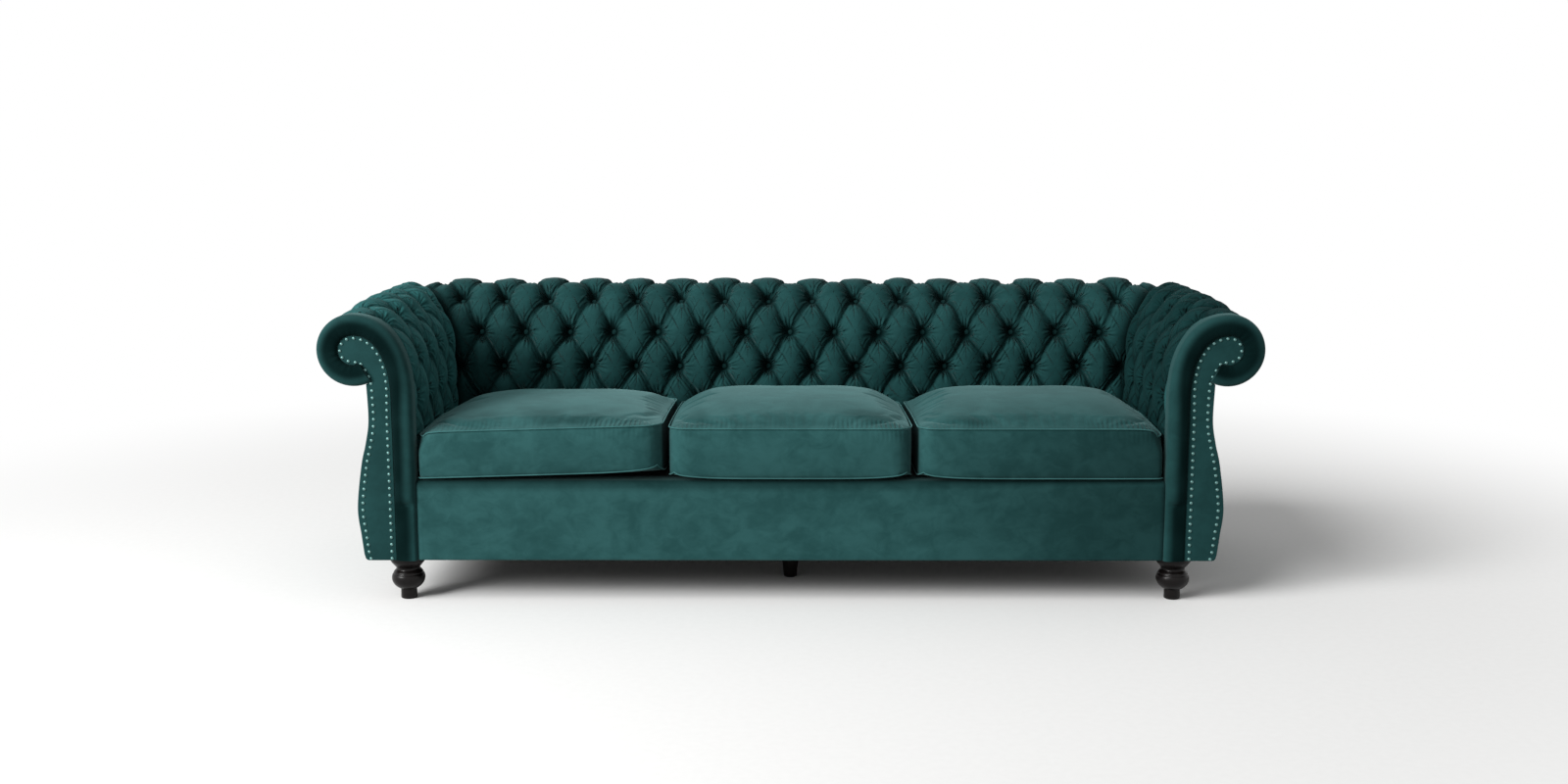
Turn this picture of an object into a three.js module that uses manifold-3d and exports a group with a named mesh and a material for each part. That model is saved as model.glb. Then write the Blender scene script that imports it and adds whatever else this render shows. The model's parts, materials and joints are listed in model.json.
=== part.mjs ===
// A three-seat chesterfield: rolled arms and a back of one height, deep-buttoned velvet on a hardwood frame.
// Millimetres, +Z up. X runs along the seat, Y to the rear. The origin is on the floor, under the middle.
import * as THREE from "three";
import { mergeVertices } from "three/addons/utils/BufferGeometryUtils.js";
import Module from "manifold-3d";

const wasm = await Module();
wasm.setup();

// Whole sofa
const sofaLength = 2140;
const sofaDepth = 832;
const legHeight = 101;

// Clearances and cutting
const fit = 0.3; // between pieces that touch
const overrun = 20; // how far a cutting block passes what it cuts
const weld = 0.001; // points closer than this are one point

// Roll of the arms and back, seen from the end: "out" runs from the seat side to the outside
const rollRadius = 82;
const rollHeight = 588; // of the roll's centre
const rollOut = 132; // of the roll's centre
const backReach = 256; // seat side to rear of the back
const shoulderDrop = 110; // the upright ends this far below the roll's centre
const uprightHandleShare = 0.635; // how long the shoulder keeps the line of the upright
const topHandleShare = 0.606; // how long it keeps the line of the top
const tackAngle = THREE.MathUtils.degToRad(-120); // where the cover is tacked under the roll
const shoulderSteps = 6;
const rollSteps = 12;

// Deep buttoning
const buttonPitch = 115; // along a row
const rowPitch = 88; // from row to row up the seat side
const topRowPitch = 60; // from the top row in view to the one behind the crest
const lowRowDrop = 11; // lowest row in view, below the start of the shoulder
const rowsOver = 2; // rows in view over that one
const rowsUnder = 1; // rows under it, behind the cushions
const tuftDepth = 30; // crest of a puff to the buttons
const topPuffRise = 18; // extra loft of the puffs on top of the roll
const padBacking = 8; // left behind the buttons
const valleyShare = 0.5; // height of a pleat half way between two buttons
const cornerSink = 50; // puffs run down to button level this close to the corner
const borderFillShare = 0.45; // least loft of the puffs against the front border
const armButtonBack = 117.5; // a button column on the arm, from the seat side of the back
const columnsPerButton = 4;
const rowsPerButton = 2;
const underRollSteps = 5;

// Outer faces of the arms and back, from the neck under the roll down to the floor edge
const coverThickness = 8;
const neckReach = 104;
const bulgeReach = 134;
const outerLineShares = [
  [0, 1],
  [-0.07, 0.8],
  [0.2, 0.67],
  [0.6, 0.543],
  [1, 0.305],
  [0.8, 0.145],
  [0.57, 0],
];
const outerSteps = 12;

// Padded border round the front of each arm, and the nailed facing inside it
const borderWidth = 48;
const borderProfileShares = [
  [0, 1],
  [0, 0.45],
  [0.125, 0.136],
  [0.375, 0],
  [0.71, 0.045],
  [1, 0.318],
];
const facingSetback = 12;
const facingThickness = 11.7;

// Hardwood frame
const dustClothThickness = 1.2;
const railHeight = 137.5;
const frontRailThickness = 20;
const sideRailThickness = 35;
const sideRailOut = 56;
const rearRailThickness = 35;
const rearRailBack = 67; // from the seat side of the back
const boardThickness = 18;
const postThickness = 22;
const topRailWidth = 44;
const topRailThickness = 20;
const topRailLift = 8; // above the centre of the roll
const tackRailThickness = 20;
const tackRailHeight = 40;
const tackRailLift = 2.4; // above the deck
const stretcherWidth = 50;
const stretcherHeight = 50;
const blockLength = 112;
const blockWidth = 102;
const blockHeight = 60;

// Seat platform
const wireRadius = 2;
const wireSides = 4;
const springHalfWidth = 25;
const springSideGap = 87; // from the outer springs of a seat to the back posts between the seats
const springsPerSeat = 3;
const springRise = 22;
const springWaves = 8;
const stepsPerWave = 6;
const springFrontSeat = 12; // wire end, in from the front of the front rail
const springRearSeat = 18; // wire end, in from the front of the rear rail
const clipLength = 16;
const clipWidth = 14;
const clipHeight = 6;
const tieShares = [0.3, 0.7]; // cross wires, along the springs
const tieRadius = 1.6;
const deckThickness = 20;
const edgeRollDepth = 59;
const edgeRollLift = 14; // over the front rail, room for the springs
const edgeRollRadius = 14;
const edgeRollSteps = 4;

// Seat cushions
const cushionCount = 3;
const cushionGap = 4;
const cushionSideGap = 3;
const cushionOverhang = 2; // past the apron's face
const cushionRearGap = 10;
const boxingHeight = 121;
const crownHeight = 57;
const crownAcrossPower = 4.8;
const crownAlongPower = 2.6;
const frontBulge = 6;
const sideDraw = 4;
const cornerDraw = 11;
const cornerLift = 9;
const cornerPower = 5;
const cushionSteps = [12, 10, 3];
const coreSteps = [6, 5, 1];
const cushionWall = 8;
const zipLength = 440;
const zipHeight = 24;
const tapeThickness = 3;
const sliderLength = 14;
const sliderThickness = 3.5;
const sliderHeight = 9;

// Feet: the front pair is turned, the rear pair and the middle one are plain tapers
const footFlangeRadius = 40;
const ballRadius = 38.3;
const ballLowShare = 0.23;
const ballHighShare = 0.69;
const ballSteps = 7;
const toeShares = [
  [0, 0],
  [0.4, 0],
  [0.45, 0.02],
];
const toeTopShare = 0.46;
const neckShare = 0.71;
const stemShares = [
  [0.69, 0.71],
  [0.69, 0.745],
  [0.94, 0.865],
  [1, 0.9],
  [1, 1],
];
const taperTopRadius = 25;
const taperBottomRadius = 16;
const taperEase = 3; // rounding at the bottom of a taper
const footSides = 20;
const frontFootPlace = { out: 34, back: 61 };
const rearFootPlace = { out: 34, back: 45 };
const middleFootBack = 252;
const boltRadius = 4;
const boltInFoot = 39;
const boltInFrame = 39;
const boltSides = 12;

// Places that follow from the sizes above
const halfLength = sofaLength / 2;
const halfDepth = sofaDepth / 2;
const armReach = rollOut + rollRadius;
const armInner = halfLength - armReach;
const backInner = halfDepth - backReach;
const backStretch = backReach / armReach;
const shoulderHeight = rollHeight - shoulderDrop;
const coreInset = tuftDepth + padBacking;
const neckTop = rollHeight - Math.sqrt(rollRadius ** 2 - (rollOut - neckReach) ** 2) - fit;

const frontPlane = -halfDepth;
const facingFront = frontPlane + facingSetback;
const facingBack = facingFront + facingThickness;
const frameFront = facingBack + fit;
const frontRailBack = frameFront + frontRailThickness;
const borderDepth = frontRailBack - frontPlane;
const rearRailFront = backInner + rearRailBack;
const rearRailRear = rearRailFront + rearRailThickness;
const sideRailFront = frameFront + boardThickness + fit;
const sideRailRear = rearRailFront - fit;
const railReach = armInner + coreInset;

const frameBottom = legHeight + dustClothThickness + fit;
const railTop = frameBottom + railHeight;
const springEndHeight = railTop + fit + clipHeight / 2;
const deckUnder = springEndHeight + springRise + wireRadius + fit;
const deckTop = deckUnder + deckThickness;
const edgeRollRear = facingFront + edgeRollDepth;
const deckRear = backInner + backStretch * tuftDepth - fit;

const cushionBottom = deckTop + fit;
const cushionFront = facingFront - cushionOverhang;
const cushionRear = backInner - cushionRearGap;
const cushionWidth =
  (2 * (armInner - cushionSideGap) - (cushionCount - 1) * cushionGap) / cushionCount;
const cushionPitch = cushionWidth + cushionGap;
const postPlace = cushionPitch / 2; // of each inner back post, between two seats
const springSpan = cushionPitch - postThickness - 2 * (springSideGap + springHalfWidth + wireRadius);
const springSpacing = springSpan / (springsPerSeat - 1);

// Solids
function solidOf(geometry) {
  const bare = new THREE.BufferGeometry();
  bare.setAttribute("position", geometry.getAttribute("position"));
  bare.setIndex(geometry.index);
  const merged = mergeVertices(bare, weld);
  return new wasm.Manifold(
    new wasm.Mesh({
      numProp: 3,
      vertProperties: merged.getAttribute("position").array,
      triVerts: new Uint32Array(merged.index.array),
    }),
  );
}

function geometryOf(solid) {
  const { vertProperties, triVerts } = solid.getMesh();
  const geometry = new THREE.BufferGeometry();
  geometry.setAttribute("position", new THREE.BufferAttribute(vertProperties, 3));
  geometry.setIndex(new THREE.BufferAttribute(triVerts, 1));
  return shaded(geometry);
}

function shaded(geometry) {
  geometry.computeVertexNormals();
  return geometry;
}

function cut(geometry, ...tools) {
  return geometryOf(tools.reduce((left, tool) => left.subtract(solidOf(tool)), solidOf(geometry)));
}

function join(...geometries) {
  return geometryOf(geometries.map(solidOf).reduce((whole, next) => whole.add(next)));
}

function block([x0, x1], [y0, y1], [z0, z1]) {
  const geometry = new THREE.BoxGeometry(x1 - x0, y1 - y0, z1 - z0);
  return geometry.translate((x0 + x1) / 2, (y0 + y1) / 2, (z0 + z1) / 2);
}

// A prism of an outline: along "x" the outline lies in Y and Z, along "y" in X and Z, along "z" in X and Y.
function prism(outline, [from, to], axis) {
  const shape = new THREE.Shape(outline.map(([a, b]) => new THREE.Vector2(a, b)));
  const geometry = new THREE.ExtrudeGeometry(shape, { depth: to - from, bevelEnabled: false });
  if (axis === "y") return geometry.translate(0, 0, -to).rotateX(Math.PI / 2);
  geometry.translate(0, 0, from);
  if (axis === "z") return geometry;
  const turn = new THREE.Matrix4().set(0, 0, 1, 0, 1, 0, 0, 0, 0, 1, 0, 0, 0, 0, 0, 1);
  return geometry.applyMatrix4(turn);
}

function upright(radius, [z0, z1], sides, [x, y]) {
  const geometry = new THREE.CylinderGeometry(radius, radius, z1 - z0, sides);
  return geometry.rotateX(Math.PI / 2).translate(x, y, (z0 + z1) / 2);
}

function turned(profile, sides, [x, y]) {
  const points = profile.map(([radius, height]) => new THREE.Vector2(radius, height));
  return new THREE.LatheGeometry(points, sides).rotateX(Math.PI / 2).translate(x, y, 0);
}

function meshOf(points, faces) {
  const geometry = new THREE.BufferGeometry().setFromPoints(points);
  geometry.setIndex(faces);
  return shaded(geometry);
}

// Triangles of a flat outline, as numbers of its points, turned anticlockwise.
function filled(outline) {
  const contour = outline.map(([a, b]) => new THREE.Vector2(a, b));
  return THREE.ShapeUtils.triangulateShape(contour, []);
}

// A closed skin over rings of points, with its two ends filled like the section.
function loft(rings, section) {
  const around = section.length;
  const faces = [];
  for (let ring = 0; ring + 1 < rings.length; ring++)
    for (let k = 0; k < around; k++) {
      const a = ring * around + k;
      const b = ring * around + ((k + 1) % around);
      faces.push(a, b, b + around, a, b + around, a + around);
    }
  const last = (rings.length - 1) * around;
  for (const [a, b, c] of filled(section)) {
    faces.push(a, c, b);
    faces.push(last + a, last + b, last + c);
  }
  return meshOf(rings.flat(), faces);
}

// Section lines
function rollTop(inset) {
  return rollHeight + rollRadius - inset;
}

function shoulderCurve(inset) {
  const top = rollTop(inset);
  const upHandle = uprightHandleShare * (top - shoulderHeight);
  const topHandle = topHandleShare * (rollOut - inset);
  return new THREE.CubicBezierCurve(
    new THREE.Vector2(inset, shoulderHeight),
    new THREE.Vector2(inset, shoulderHeight + upHandle),
    new THREE.Vector2(rollOut - topHandle, top),
    new THREE.Vector2(rollOut, top),
  );
}

function rollPoint(inset, angle) {
  const radius = rollRadius - inset;
  return [rollOut + radius * Math.cos(angle), rollHeight + radius * Math.sin(angle)];
}

// Up the seat side, over the shoulder and round the roll, as points.
function rollLine(inset, bottom) {
  const shoulder = shoulderCurve(inset).getPoints(shoulderSteps);
  const points = [[inset, bottom], ...shoulder.map((p) => [p.x, p.y])];
  for (let step = 1; step <= rollSteps; step++)
    points.push(rollPoint(inset, THREE.MathUtils.lerp(Math.PI / 2, tackAngle, step / rollSteps)));
  return points;
}

// The same line as a curve whose length can be measured.
function rollPath(inset, bottom) {
  const { v1, v2, v3 } = shoulderCurve(inset);
  const path = new THREE.Path();
  path.moveTo(inset, bottom).lineTo(inset, shoulderHeight);
  path.bezierCurveTo(v1.x, v1.y, v2.x, v2.y, v3.x, v3.y);
  return path.absarc(rollOut, rollHeight, rollRadius - inset, Math.PI / 2, tackAngle, true);
}

// Down the outer face, from the neck to the bottom edge.
function outerLine(inset) {
  const curve = new THREE.SplineCurve(
    outerLineShares.map(
      ([outShare, upShare]) =>
        new THREE.Vector2(
          neckReach + outShare * (bulgeReach - neckReach),
          legHeight + upShare * (neckTop - legHeight),
        ),
    ),
  );
  const points = [];
  for (let step = 0; step <= outerSteps; step++) {
    const point = curve.getPoint(step / outerSteps);
    const tangent = curve.getTangent(step / outerSteps);
    points.push([point.x + inset * tangent.y, point.y - inset * tangent.x]);
  }
  points[outerSteps][1] = legHeight;
  return points;
}

// What a falling line of points has above a height, ending on that height.
function above(points, bottom) {
  const next = points.findIndex(([, up]) => up <= bottom);
  const [a, b] = [points[next - 1], points[next]];
  const share = (a[1] - bottom) / (a[1] - b[1]);
  return [...points.slice(0, next), [THREE.MathUtils.lerp(a[0], b[0], share), bottom]];
}

// Outline of a board or panel behind the covers. The roll's cover ends on it at the tack line.
function scrollOutline(inset, outerInset, bottom) {
  const past = [fit * Math.sin(tackAngle), -fit * Math.cos(tackAngle)];
  const tackEnds = [inset, 0].map((depth) => {
    const [out, up] = rollPoint(depth, tackAngle);
    return [out + past[0], up + past[1]];
  });
  return [...rollLine(inset, bottom).slice(0, -1), ...tackEnds, ...above(outerLine(outerInset), bottom)];
}

function onArm(outline) {
  return outline.map(([out, up]) => [armInner + out, up]);
}

function onBack(outline) {
  return outline.map(([out, up]) => [backInner + backStretch * out, up]);
}

// The corner where arm and back meet is a mitre. Each of these two wedges holds what lies past it.
const mitreStart = [armInner - overrun, backInner - backStretch * overrun];
const mitreEnd = [halfLength + overrun, halfDepth + backStretch * overrun];
const wedgeHeights = [0, rollHeight + rollRadius + topPuffRise + overrun];

function pastArm() {
  const inward = mitreStart[0] - overrun;
  return prism([mitreStart, mitreEnd, [inward, mitreEnd[1]], [inward, mitreStart[1]]], wedgeHeights, "z");
}

function pastBack(side) {
  const outline = [
    [side * mitreStart[0], mitreStart[1] + fit],
    [side * mitreEnd[0], mitreEnd[1] + fit],
    [side * mitreEnd[0], mitreStart[1] + fit],
  ];
  return prism(outline, wedgeHeights, "z");
}

// Buttoned pads
const padPath = rollPath(tuftDepth, deckUnder);
const padLength = padPath.getLength();
const lowRowLength = shoulderHeight - lowRowDrop - deckUnder;
const bottomRowLength = lowRowLength - rowsUnder * rowPitch;
const crestRowLength = lowRowLength + rowsOver * rowPitch;
const rearRowLength = crestRowLength + topRowPitch;
const deckRowLength = deckTop + fit - deckUnder;

// A row's place up the pad, counted in rows from the lowest one in view, and the count at a place.
function rowPlace(row) {
  return lowRowLength + Math.min(row, rowsOver) * rowPitch + Math.max(row - rowsOver, 0) * topRowPitch;
}

function rowAt(length) {
  const over = Math.max(length - crestRowLength, 0);
  return (length - over - lowRowLength) / rowPitch + over / topRowPitch;
}

// Rows of points up the pad. "half" counts half rows of buttons from the lowest row in view.
function padRows() {
  const rows = [{ length: 0 }, { length: deckRowLength }];
  const last = (rowsOver + 1) * rowsPerButton;
  const first = Math.ceil(rowAt(deckRowLength) * rowsPerButton + 0.5);
  for (let half = first; half <= last; half++) rows.push({ length: rowPlace(half / rowsPerButton), half });
  for (let under = 1; under <= underRollSteps; under++)
    rows.push({ length: THREE.MathUtils.lerp(rearRowLength, padLength, under / underRollSteps) });
  return rows;
}

// Columns of points along the pad. "quarter" counts quarters of the button pitch.
function padColumns([from, to], buttonPlace) {
  const step = buttonPitch / columnsPerButton;
  const columns = [{ place: from }];
  const first = Math.ceil((from + step / 2 - buttonPlace) / step);
  for (let quarter = first; buttonPlace + quarter * step < to - step / 2; quarter++)
    columns.push({ place: buttonPlace + quarter * step, quarter });
  columns.push({ place: to });
  return columns;
}

// Loft of the puffs, 0 at a button and 1 at a crest: diamonds between the rows, plain pleats past them.
function puffShare(across, length) {
  const along = rowAt(length);
  const pleat = Math.abs(Math.cos(Math.PI * across));
  if (length > rearRowLength)
    return THREE.MathUtils.lerp(pleat, 1, (length - rearRowLength) / (padLength - rearRowLength));
  if (length <= deckRowLength) return 0;
  if (length < bottomRowLength)
    return THREE.MathUtils.inverseLerp(bottomRowLength, deckRowLength, length) * (1 - pleat) + pleat;
  const left = Math.abs(Math.sin(Math.PI * (across + along / 2)));
  const right = Math.abs(Math.sin(Math.PI * (across - along / 2)));
  const dome = Math.sqrt(left * right);
  return dome + valleyShare * Math.max(left, right) * (1 - dome);
}

// A pad whose outer face is buttoned and whose back is plain. "place" puts a section's point at a column.
function buttonedPad({ span, buttonPlace, toCorner, endFillShare, place }) {
  const rows = padRows();
  const columns = padColumns(span, buttonPlace);
  const inner = rollLine(coreInset, deckUnder);
  const points = [];
  const sections = columns.map(({ place: at }, column) =>
    rows.map(({ length }) => {
      const share = Math.min(length / padLength, 1);
      const base = padPath.getPoint(share);
      const tangent = padPath.getTangent(share);
      const topShare = THREE.MathUtils.smoothstep(base.y, rollHeight + tuftDepth, rollTop(tuftDepth));
      const sink = Math.sqrt(THREE.MathUtils.clamp(toCorner(base.x, at) / cornerSink, 0, 1));
      let loftShare = puffShare((at - buttonPlace) / buttonPitch, length) * sink;
      if (column === 0 && length > deckRowLength) loftShare = Math.max(loftShare, endFillShare);
      const height = loftShare * (tuftDepth + topPuffRise * topShare);
      const section = [base.x - height * tangent.y, base.y + height * tangent.x];
      points.push(place(section, at));
      return section;
    }),
  );
  const rowCount = rows.length;
  const faces = [];
  for (let c = 0; c + 1 < columns.length; c++)
    for (let r = 0; r + 1 < rowCount; r++) {
      const a = c * rowCount + r;
      const [b, d, e] = [a + 1, a + rowCount, a + rowCount + 1];
      const crossing = rows[r].half + columns[c].quarter + 1;
      if (crossing % columnsPerButton === 0) faces.push(a, b, d, b, e, d);
      else faces.push(a, b, e, a, e, d);
    }
  // The plain back, and the two long edges.
  const start = points.length;
  inner.forEach((section) => points.push(place(section, span[0])));
  const end = points.length;
  inner.forEach((section) => points.push(place(section, span[1])));
  for (let k = 0; k + 1 < inner.length; k++)
    faces.push(start + k, end + k, end + k + 1, start + k, end + k + 1, start + k + 1);
  const top = inner.length - 1;
  for (let c = 0; c + 1 < columns.length; c++) {
    const [low, high] = [c * rowCount, (c + 1) * rowCount - 1];
    faces.push(start, low, low + rowCount);
    faces.push(start + top, high + rowCount, high);
  }
  const last = (columns.length - 1) * rowCount;
  faces.push(start, last, end);
  faces.push(start + top, end + top, last + rowCount - 1);
  // The two ends.
  const ring = (first, innerFirst) => [
    ...rows.map((_, r) => first + r),
    ...inner.map((_, k) => innerFirst + top - k),
  ];
  const capOf = (section) => filled([...section, ...[...inner].reverse()]);
  const startRing = ring(0, start);
  const endRing = ring(last, end);
  for (const [a, b, c] of capOf(sections[0])) faces.push(startRing[a], startRing[b], startRing[c]);
  for (const [a, b, c] of capOf(sections[columns.length - 1]))
    faces.push(endRing[a], endRing[c], endRing[b]);
  return meshOf(points, faces);
}

function armPad() {
  return cut(
    buttonedPad({
      span: [frontRailBack + fit, halfDepth + overrun],
      buttonPlace: backInner - armButtonBack,
      toCorner: (out, y) => backInner + backStretch * out - y,
      endFillShare: borderFillShare,
      place: ([out, up], y) => new THREE.Vector3(armInner + out, y, up),
    }),
    pastArm(),
  );
}

function backPad() {
  return cut(
    buttonedPad({
      span: [-halfLength - overrun, halfLength + overrun],
      buttonPlace: buttonPitch / 2,
      toCorner: (out, along) => armInner + out - Math.abs(along),
      endFillShare: 0,
      place: ([out, up], along) => new THREE.Vector3(-along, backInner + backStretch * out, up),
    }),
    pastBack(1),
    pastBack(-1),
  );
}

// Outer covers, borders and facings
function outerShell() {
  return [...outerLine(0), ...outerLine(coverThickness).reverse()];
}

function armOuterCover() {
  return cut(prism(onArm(outerShell()), [facingFront, halfDepth + overrun], "y"), pastArm());
}

function backOuterCover() {
  const span = [-halfLength - overrun, halfLength + overrun];
  return cut(prism(onBack(outerShell()), span, "x"), pastBack(1), pastBack(-1));
}

function armFrontBorder() {
  const face = borderProfileShares.map(([insetShare, depthShare]) => [
    insetShare * borderWidth,
    frontPlane + depthShare * borderDepth,
  ]);
  const lip = [borderWidth, facingBack];
  const section = [...face, lip, [coreInset, facingBack], [coreInset, frontRailBack]];
  const lines = section.map(([inset]) => rollLine(inset, legHeight));
  const rings = lines[0].map((_, k) =>
    section.map(([, y], n) => new THREE.Vector3(armInner + lines[n][k][0], y, lines[n][k][1])),
  );
  const railNotch = block(
    [armInner - overrun, armInner + coreInset + fit],
    [facingBack, frontRailBack + overrun],
    [legHeight - overrun, railTop + fit],
  );
  return cut(loft(rings, section), railNotch);
}

function armFacing() {
  const outline = scrollOutline(borderWidth + fit, coverThickness + fit, legHeight);
  return prism(onArm(outline), [facingFront, facingBack], "y");
}

function armFrontBoard() {
  const outline = scrollOutline(coreInset + fit, coverThickness + fit, legHeight);
  return prism(onArm(outline), [frameFront, frameFront + boardThickness], "y");
}

function armRearBoard() {
  const outline = scrollOutline(coreInset + fit, coverThickness + fit, railTop + fit);
  return prism(onArm(outline), [sideRailRear - boardThickness, sideRailRear], "y");
}

function apron() {
  const centre = [facingFront + edgeRollRadius, deckTop - edgeRollRadius];
  const edge = [];
  for (let step = 0; step <= edgeRollSteps; step++) {
    const angle = Math.PI - ((Math.PI / 2) * step) / edgeRollSteps;
    edge.push([centre[0] + edgeRollRadius * Math.cos(angle), centre[1] + edgeRollRadius * Math.sin(angle)]);
  }
  const outline = [
    [facingFront, legHeight],
    ...edge,
    [edgeRollRear, deckTop],
    [edgeRollRear, railTop + edgeRollLift],
    [facingBack, railTop + edgeRollLift],
    [facingBack, legHeight + dustClothThickness],
    [frontRailBack, legHeight + dustClothThickness],
    [frontRailBack, legHeight],
  ];
  return prism(outline, [-armInner + fit, armInner - fit], "x");
}

// Frame
function armTopRail() {
  const out = armInner + rollOut;
  const bottom = rollHeight + topRailLift;
  return block(
    [out - topRailWidth / 2, out + topRailWidth / 2],
    [sideRailFront, sideRailRear - boardThickness - fit],
    [bottom, bottom + topRailThickness],
  );
}

function armTackRail() {
  const inner = armInner + coreInset + fit;
  const bottom = deckTop + tackRailLift;
  return block(
    [inner, inner + tackRailThickness],
    [sideRailFront, sideRailRear - boardThickness - fit],
    [bottom, bottom + tackRailHeight],
  );
}

function sideRail() {
  const inner = armInner + sideRailOut;
  return block([inner, inner + sideRailThickness], [sideRailFront, sideRailRear], [frameBottom, railTop]);
}

const topRailBack = backInner + backStretch * rollOut;

function backTopRail() {
  const bottom = rollHeight + topRailLift;
  return block(
    [-railReach, railReach],
    [topRailBack - topRailWidth / 2, topRailBack + topRailWidth / 2],
    [bottom, bottom + topRailThickness],
  );
}

function backPost([x0, x1]) {
  const outline = onBack(scrollOutline(coreInset + fit, coverThickness + fit, railTop + fit));
  const notch = block(
    [x0 - overrun, x1 + overrun],
    [topRailBack - topRailWidth / 2 - fit, topRailBack + topRailWidth / 2 + fit],
    [rollHeight + topRailLift - fit, rollHeight + rollRadius],
  );
  return cut(prism(outline, [x0, x1], "x"), notch);
}

const boltTop = frameBottom + boltInFrame;
const boltBottom = legHeight - boltInFoot;

function boltHole([x, y], bottom, top, clearance) {
  return upright(boltRadius + clearance, [bottom, top], boltSides, [x, y]);
}

// A glued and screwed corner block: its square corner is at (x, y), its legs run to the middle of the sofa.
function cornerBlock([x, y], towardsY, boltPlace) {
  const outline = [
    [x, y],
    [x - blockLength, y],
    [x, y + towardsY * blockWidth],
  ];
  const solid = prism(outline, [frameBottom, frameBottom + blockHeight], "z");
  return cut(solid, boltHole(boltPlace, frameBottom - overrun, boltTop + fit, fit));
}

function stretcher(boltPlace) {
  const solid = block(
    [-stretcherWidth / 2, stretcherWidth / 2],
    [frontRailBack + fit, rearRailFront - fit],
    [frameBottom, frameBottom + stretcherHeight],
  );
  return cut(solid, boltHole(boltPlace, frameBottom - overrun, boltTop + fit, fit));
}

// Springs: zigzag wire, arched a little, its ends held in clips on the front and rear rails
class ZigzagWire extends THREE.Curve {
  constructor(x) {
    super();
    this.x = x;
  }
  getPoint(t, target = new THREE.Vector3()) {
    const y = THREE.MathUtils.lerp(frameFront + springFrontSeat, rearRailFront + springRearSeat, t);
    const sway = springHalfWidth * Math.sin(2 * Math.PI * springWaves * t);
    const rise = springRise * (1 - (2 * t - 1) ** 2);
    return target.set(this.x + sway, y, springEndHeight + rise);
  }
}

function spring(x) {
  const curve = new ZigzagWire(x);
  const corners = Array.from({ length: wireSides }, (_, k) => (2 * Math.PI * k) / wireSides);
  const section = corners.map(
    (angle) => new THREE.Vector2(wireRadius * Math.cos(angle), wireRadius * Math.sin(angle)),
  );
  const wire = new THREE.ExtrudeGeometry(new THREE.Shape(section), {
    steps: springWaves * stepsPerWave,
    extrudePath: curve,
  });
  const clips = [0, 1].map((end) => {
    const { y } = curve.getPoint(end);
    return block(
      [x - clipWidth / 2, x + clipWidth / 2],
      [y - clipLength / 2, y + clipLength / 2],
      [railTop + fit, railTop + fit + clipHeight],
    );
  });
  return join(wire, ...clips);
}

function springPack(centre) {
  const places = Array.from(
    { length: springsPerSeat },
    (_, n) => centre + (n - (springsPerSeat - 1) / 2) * springSpacing,
  );
  const reach = springHalfWidth + wireRadius;
  const ties = tieShares.map((share) => {
    const { y, z } = new ZigzagWire(centre).getPoint(share);
    return block(
      [places[0] - reach, places[springsPerSeat - 1] + reach],
      [y - tieRadius, y + tieRadius],
      [z - tieRadius, z + tieRadius],
    );
  });
  return join(...places.map(spring), ...ties);
}

function deckPad() {
  const reach = armInner + tuftDepth - fit;
  return block([-reach, reach], [edgeRollRear + fit, deckRear], [deckUnder, deckTop]);
}

function dustCloth(boltPlaces) {
  const base = outerLine(coverThickness + fit)[outerSteps][0];
  const cloth = block(
    [-armInner - base, armInner + base],
    [frontRailBack + fit, backInner + backStretch * base],
    [legHeight, legHeight + dustClothThickness],
  );
  const holes = boltPlaces.map((place) =>
    boltHole(place, legHeight - overrun, frameBottom + overrun, dustClothThickness),
  );
  return cut(cloth, ...holes);
}

// Cushions. u, v and w run from -1 to 1 across, from front to rear and up.
function cushionShape(steps, wall) {
  const geometry = new THREE.BoxGeometry(2, 2, 2, ...steps);
  const halfWidth = cushionWidth / 2 - wall;
  const middle = (cushionFront + cushionRear) / 2;
  const halfRun = (cushionRear - cushionFront) / 2 - wall;
  const bottom = cushionBottom + wall;
  const seam = cushionBottom + boxingHeight;
  const place = geometry.getAttribute("position");
  for (let n = 0; n < place.count; n++) {
    const [u, v, w] = [place.getX(n), place.getY(n), place.getZ(n)];
    const corner = Math.abs(u * v) ** cornerPower;
    const crown =
      (1 - Math.abs(u) ** crownAcrossPower) * (1 - Math.abs(v) ** crownAlongPower) * (crownHeight - wall);
    const front = v < 0 ? -v : 0;
    const waist = (1 - v * v) * (wall ? 0 : sideDraw);
    const bulge = (1 - w * w) * (1 - u * u) * front * (wall ? 0 : frontBulge);
    const lift = corner * front * (wall ? 0 : cornerLift) * (1 - w) / 2;
    const x = u * (halfWidth - waist - corner * cornerDraw);
    const y = middle + v * (halfRun - corner * front * cornerDraw) - bulge;
    const z = bottom + ((w + 1) / 2) * (seam - bottom) + lift + (w === 1 ? crown : 0);
    place.setXYZ(n, x, y, z);
  }
  geometry.deleteAttribute("normal");
  geometry.deleteAttribute("uv");
  return shaded(mergeVertices(geometry, weld));
}

const zipMiddle = cushionBottom + boxingHeight / 2;

function zipSlot(clearance) {
  return block(
    [-zipLength / 2 - clearance, zipLength / 2 + clearance],
    [cushionRear - cushionWall - overrun, cushionRear + overrun],
    [zipMiddle - zipHeight / 2 - clearance, zipMiddle + zipHeight / 2 + clearance],
  );
}

function cushionCover() {
  return cut(cushionShape(cushionSteps, 0), cushionShape(coreSteps, cushionWall), zipSlot(fit));
}

function cushionCore() {
  return cushionShape(coreSteps, cushionWall + fit);
}

function zipTape() {
  return block(
    [-zipLength / 2, zipLength / 2],
    [cushionRear - tapeThickness, cushionRear],
    [zipMiddle - zipHeight / 2, zipMiddle + zipHeight / 2],
  );
}

function zipSlider() {
  const start = -zipLength / 2;
  return block(
    [start, start + sliderLength],
    [cushionRear + fit, cushionRear + fit + sliderThickness],
    [zipMiddle - sliderHeight / 2, zipMiddle + sliderHeight / 2],
  );
}

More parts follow.
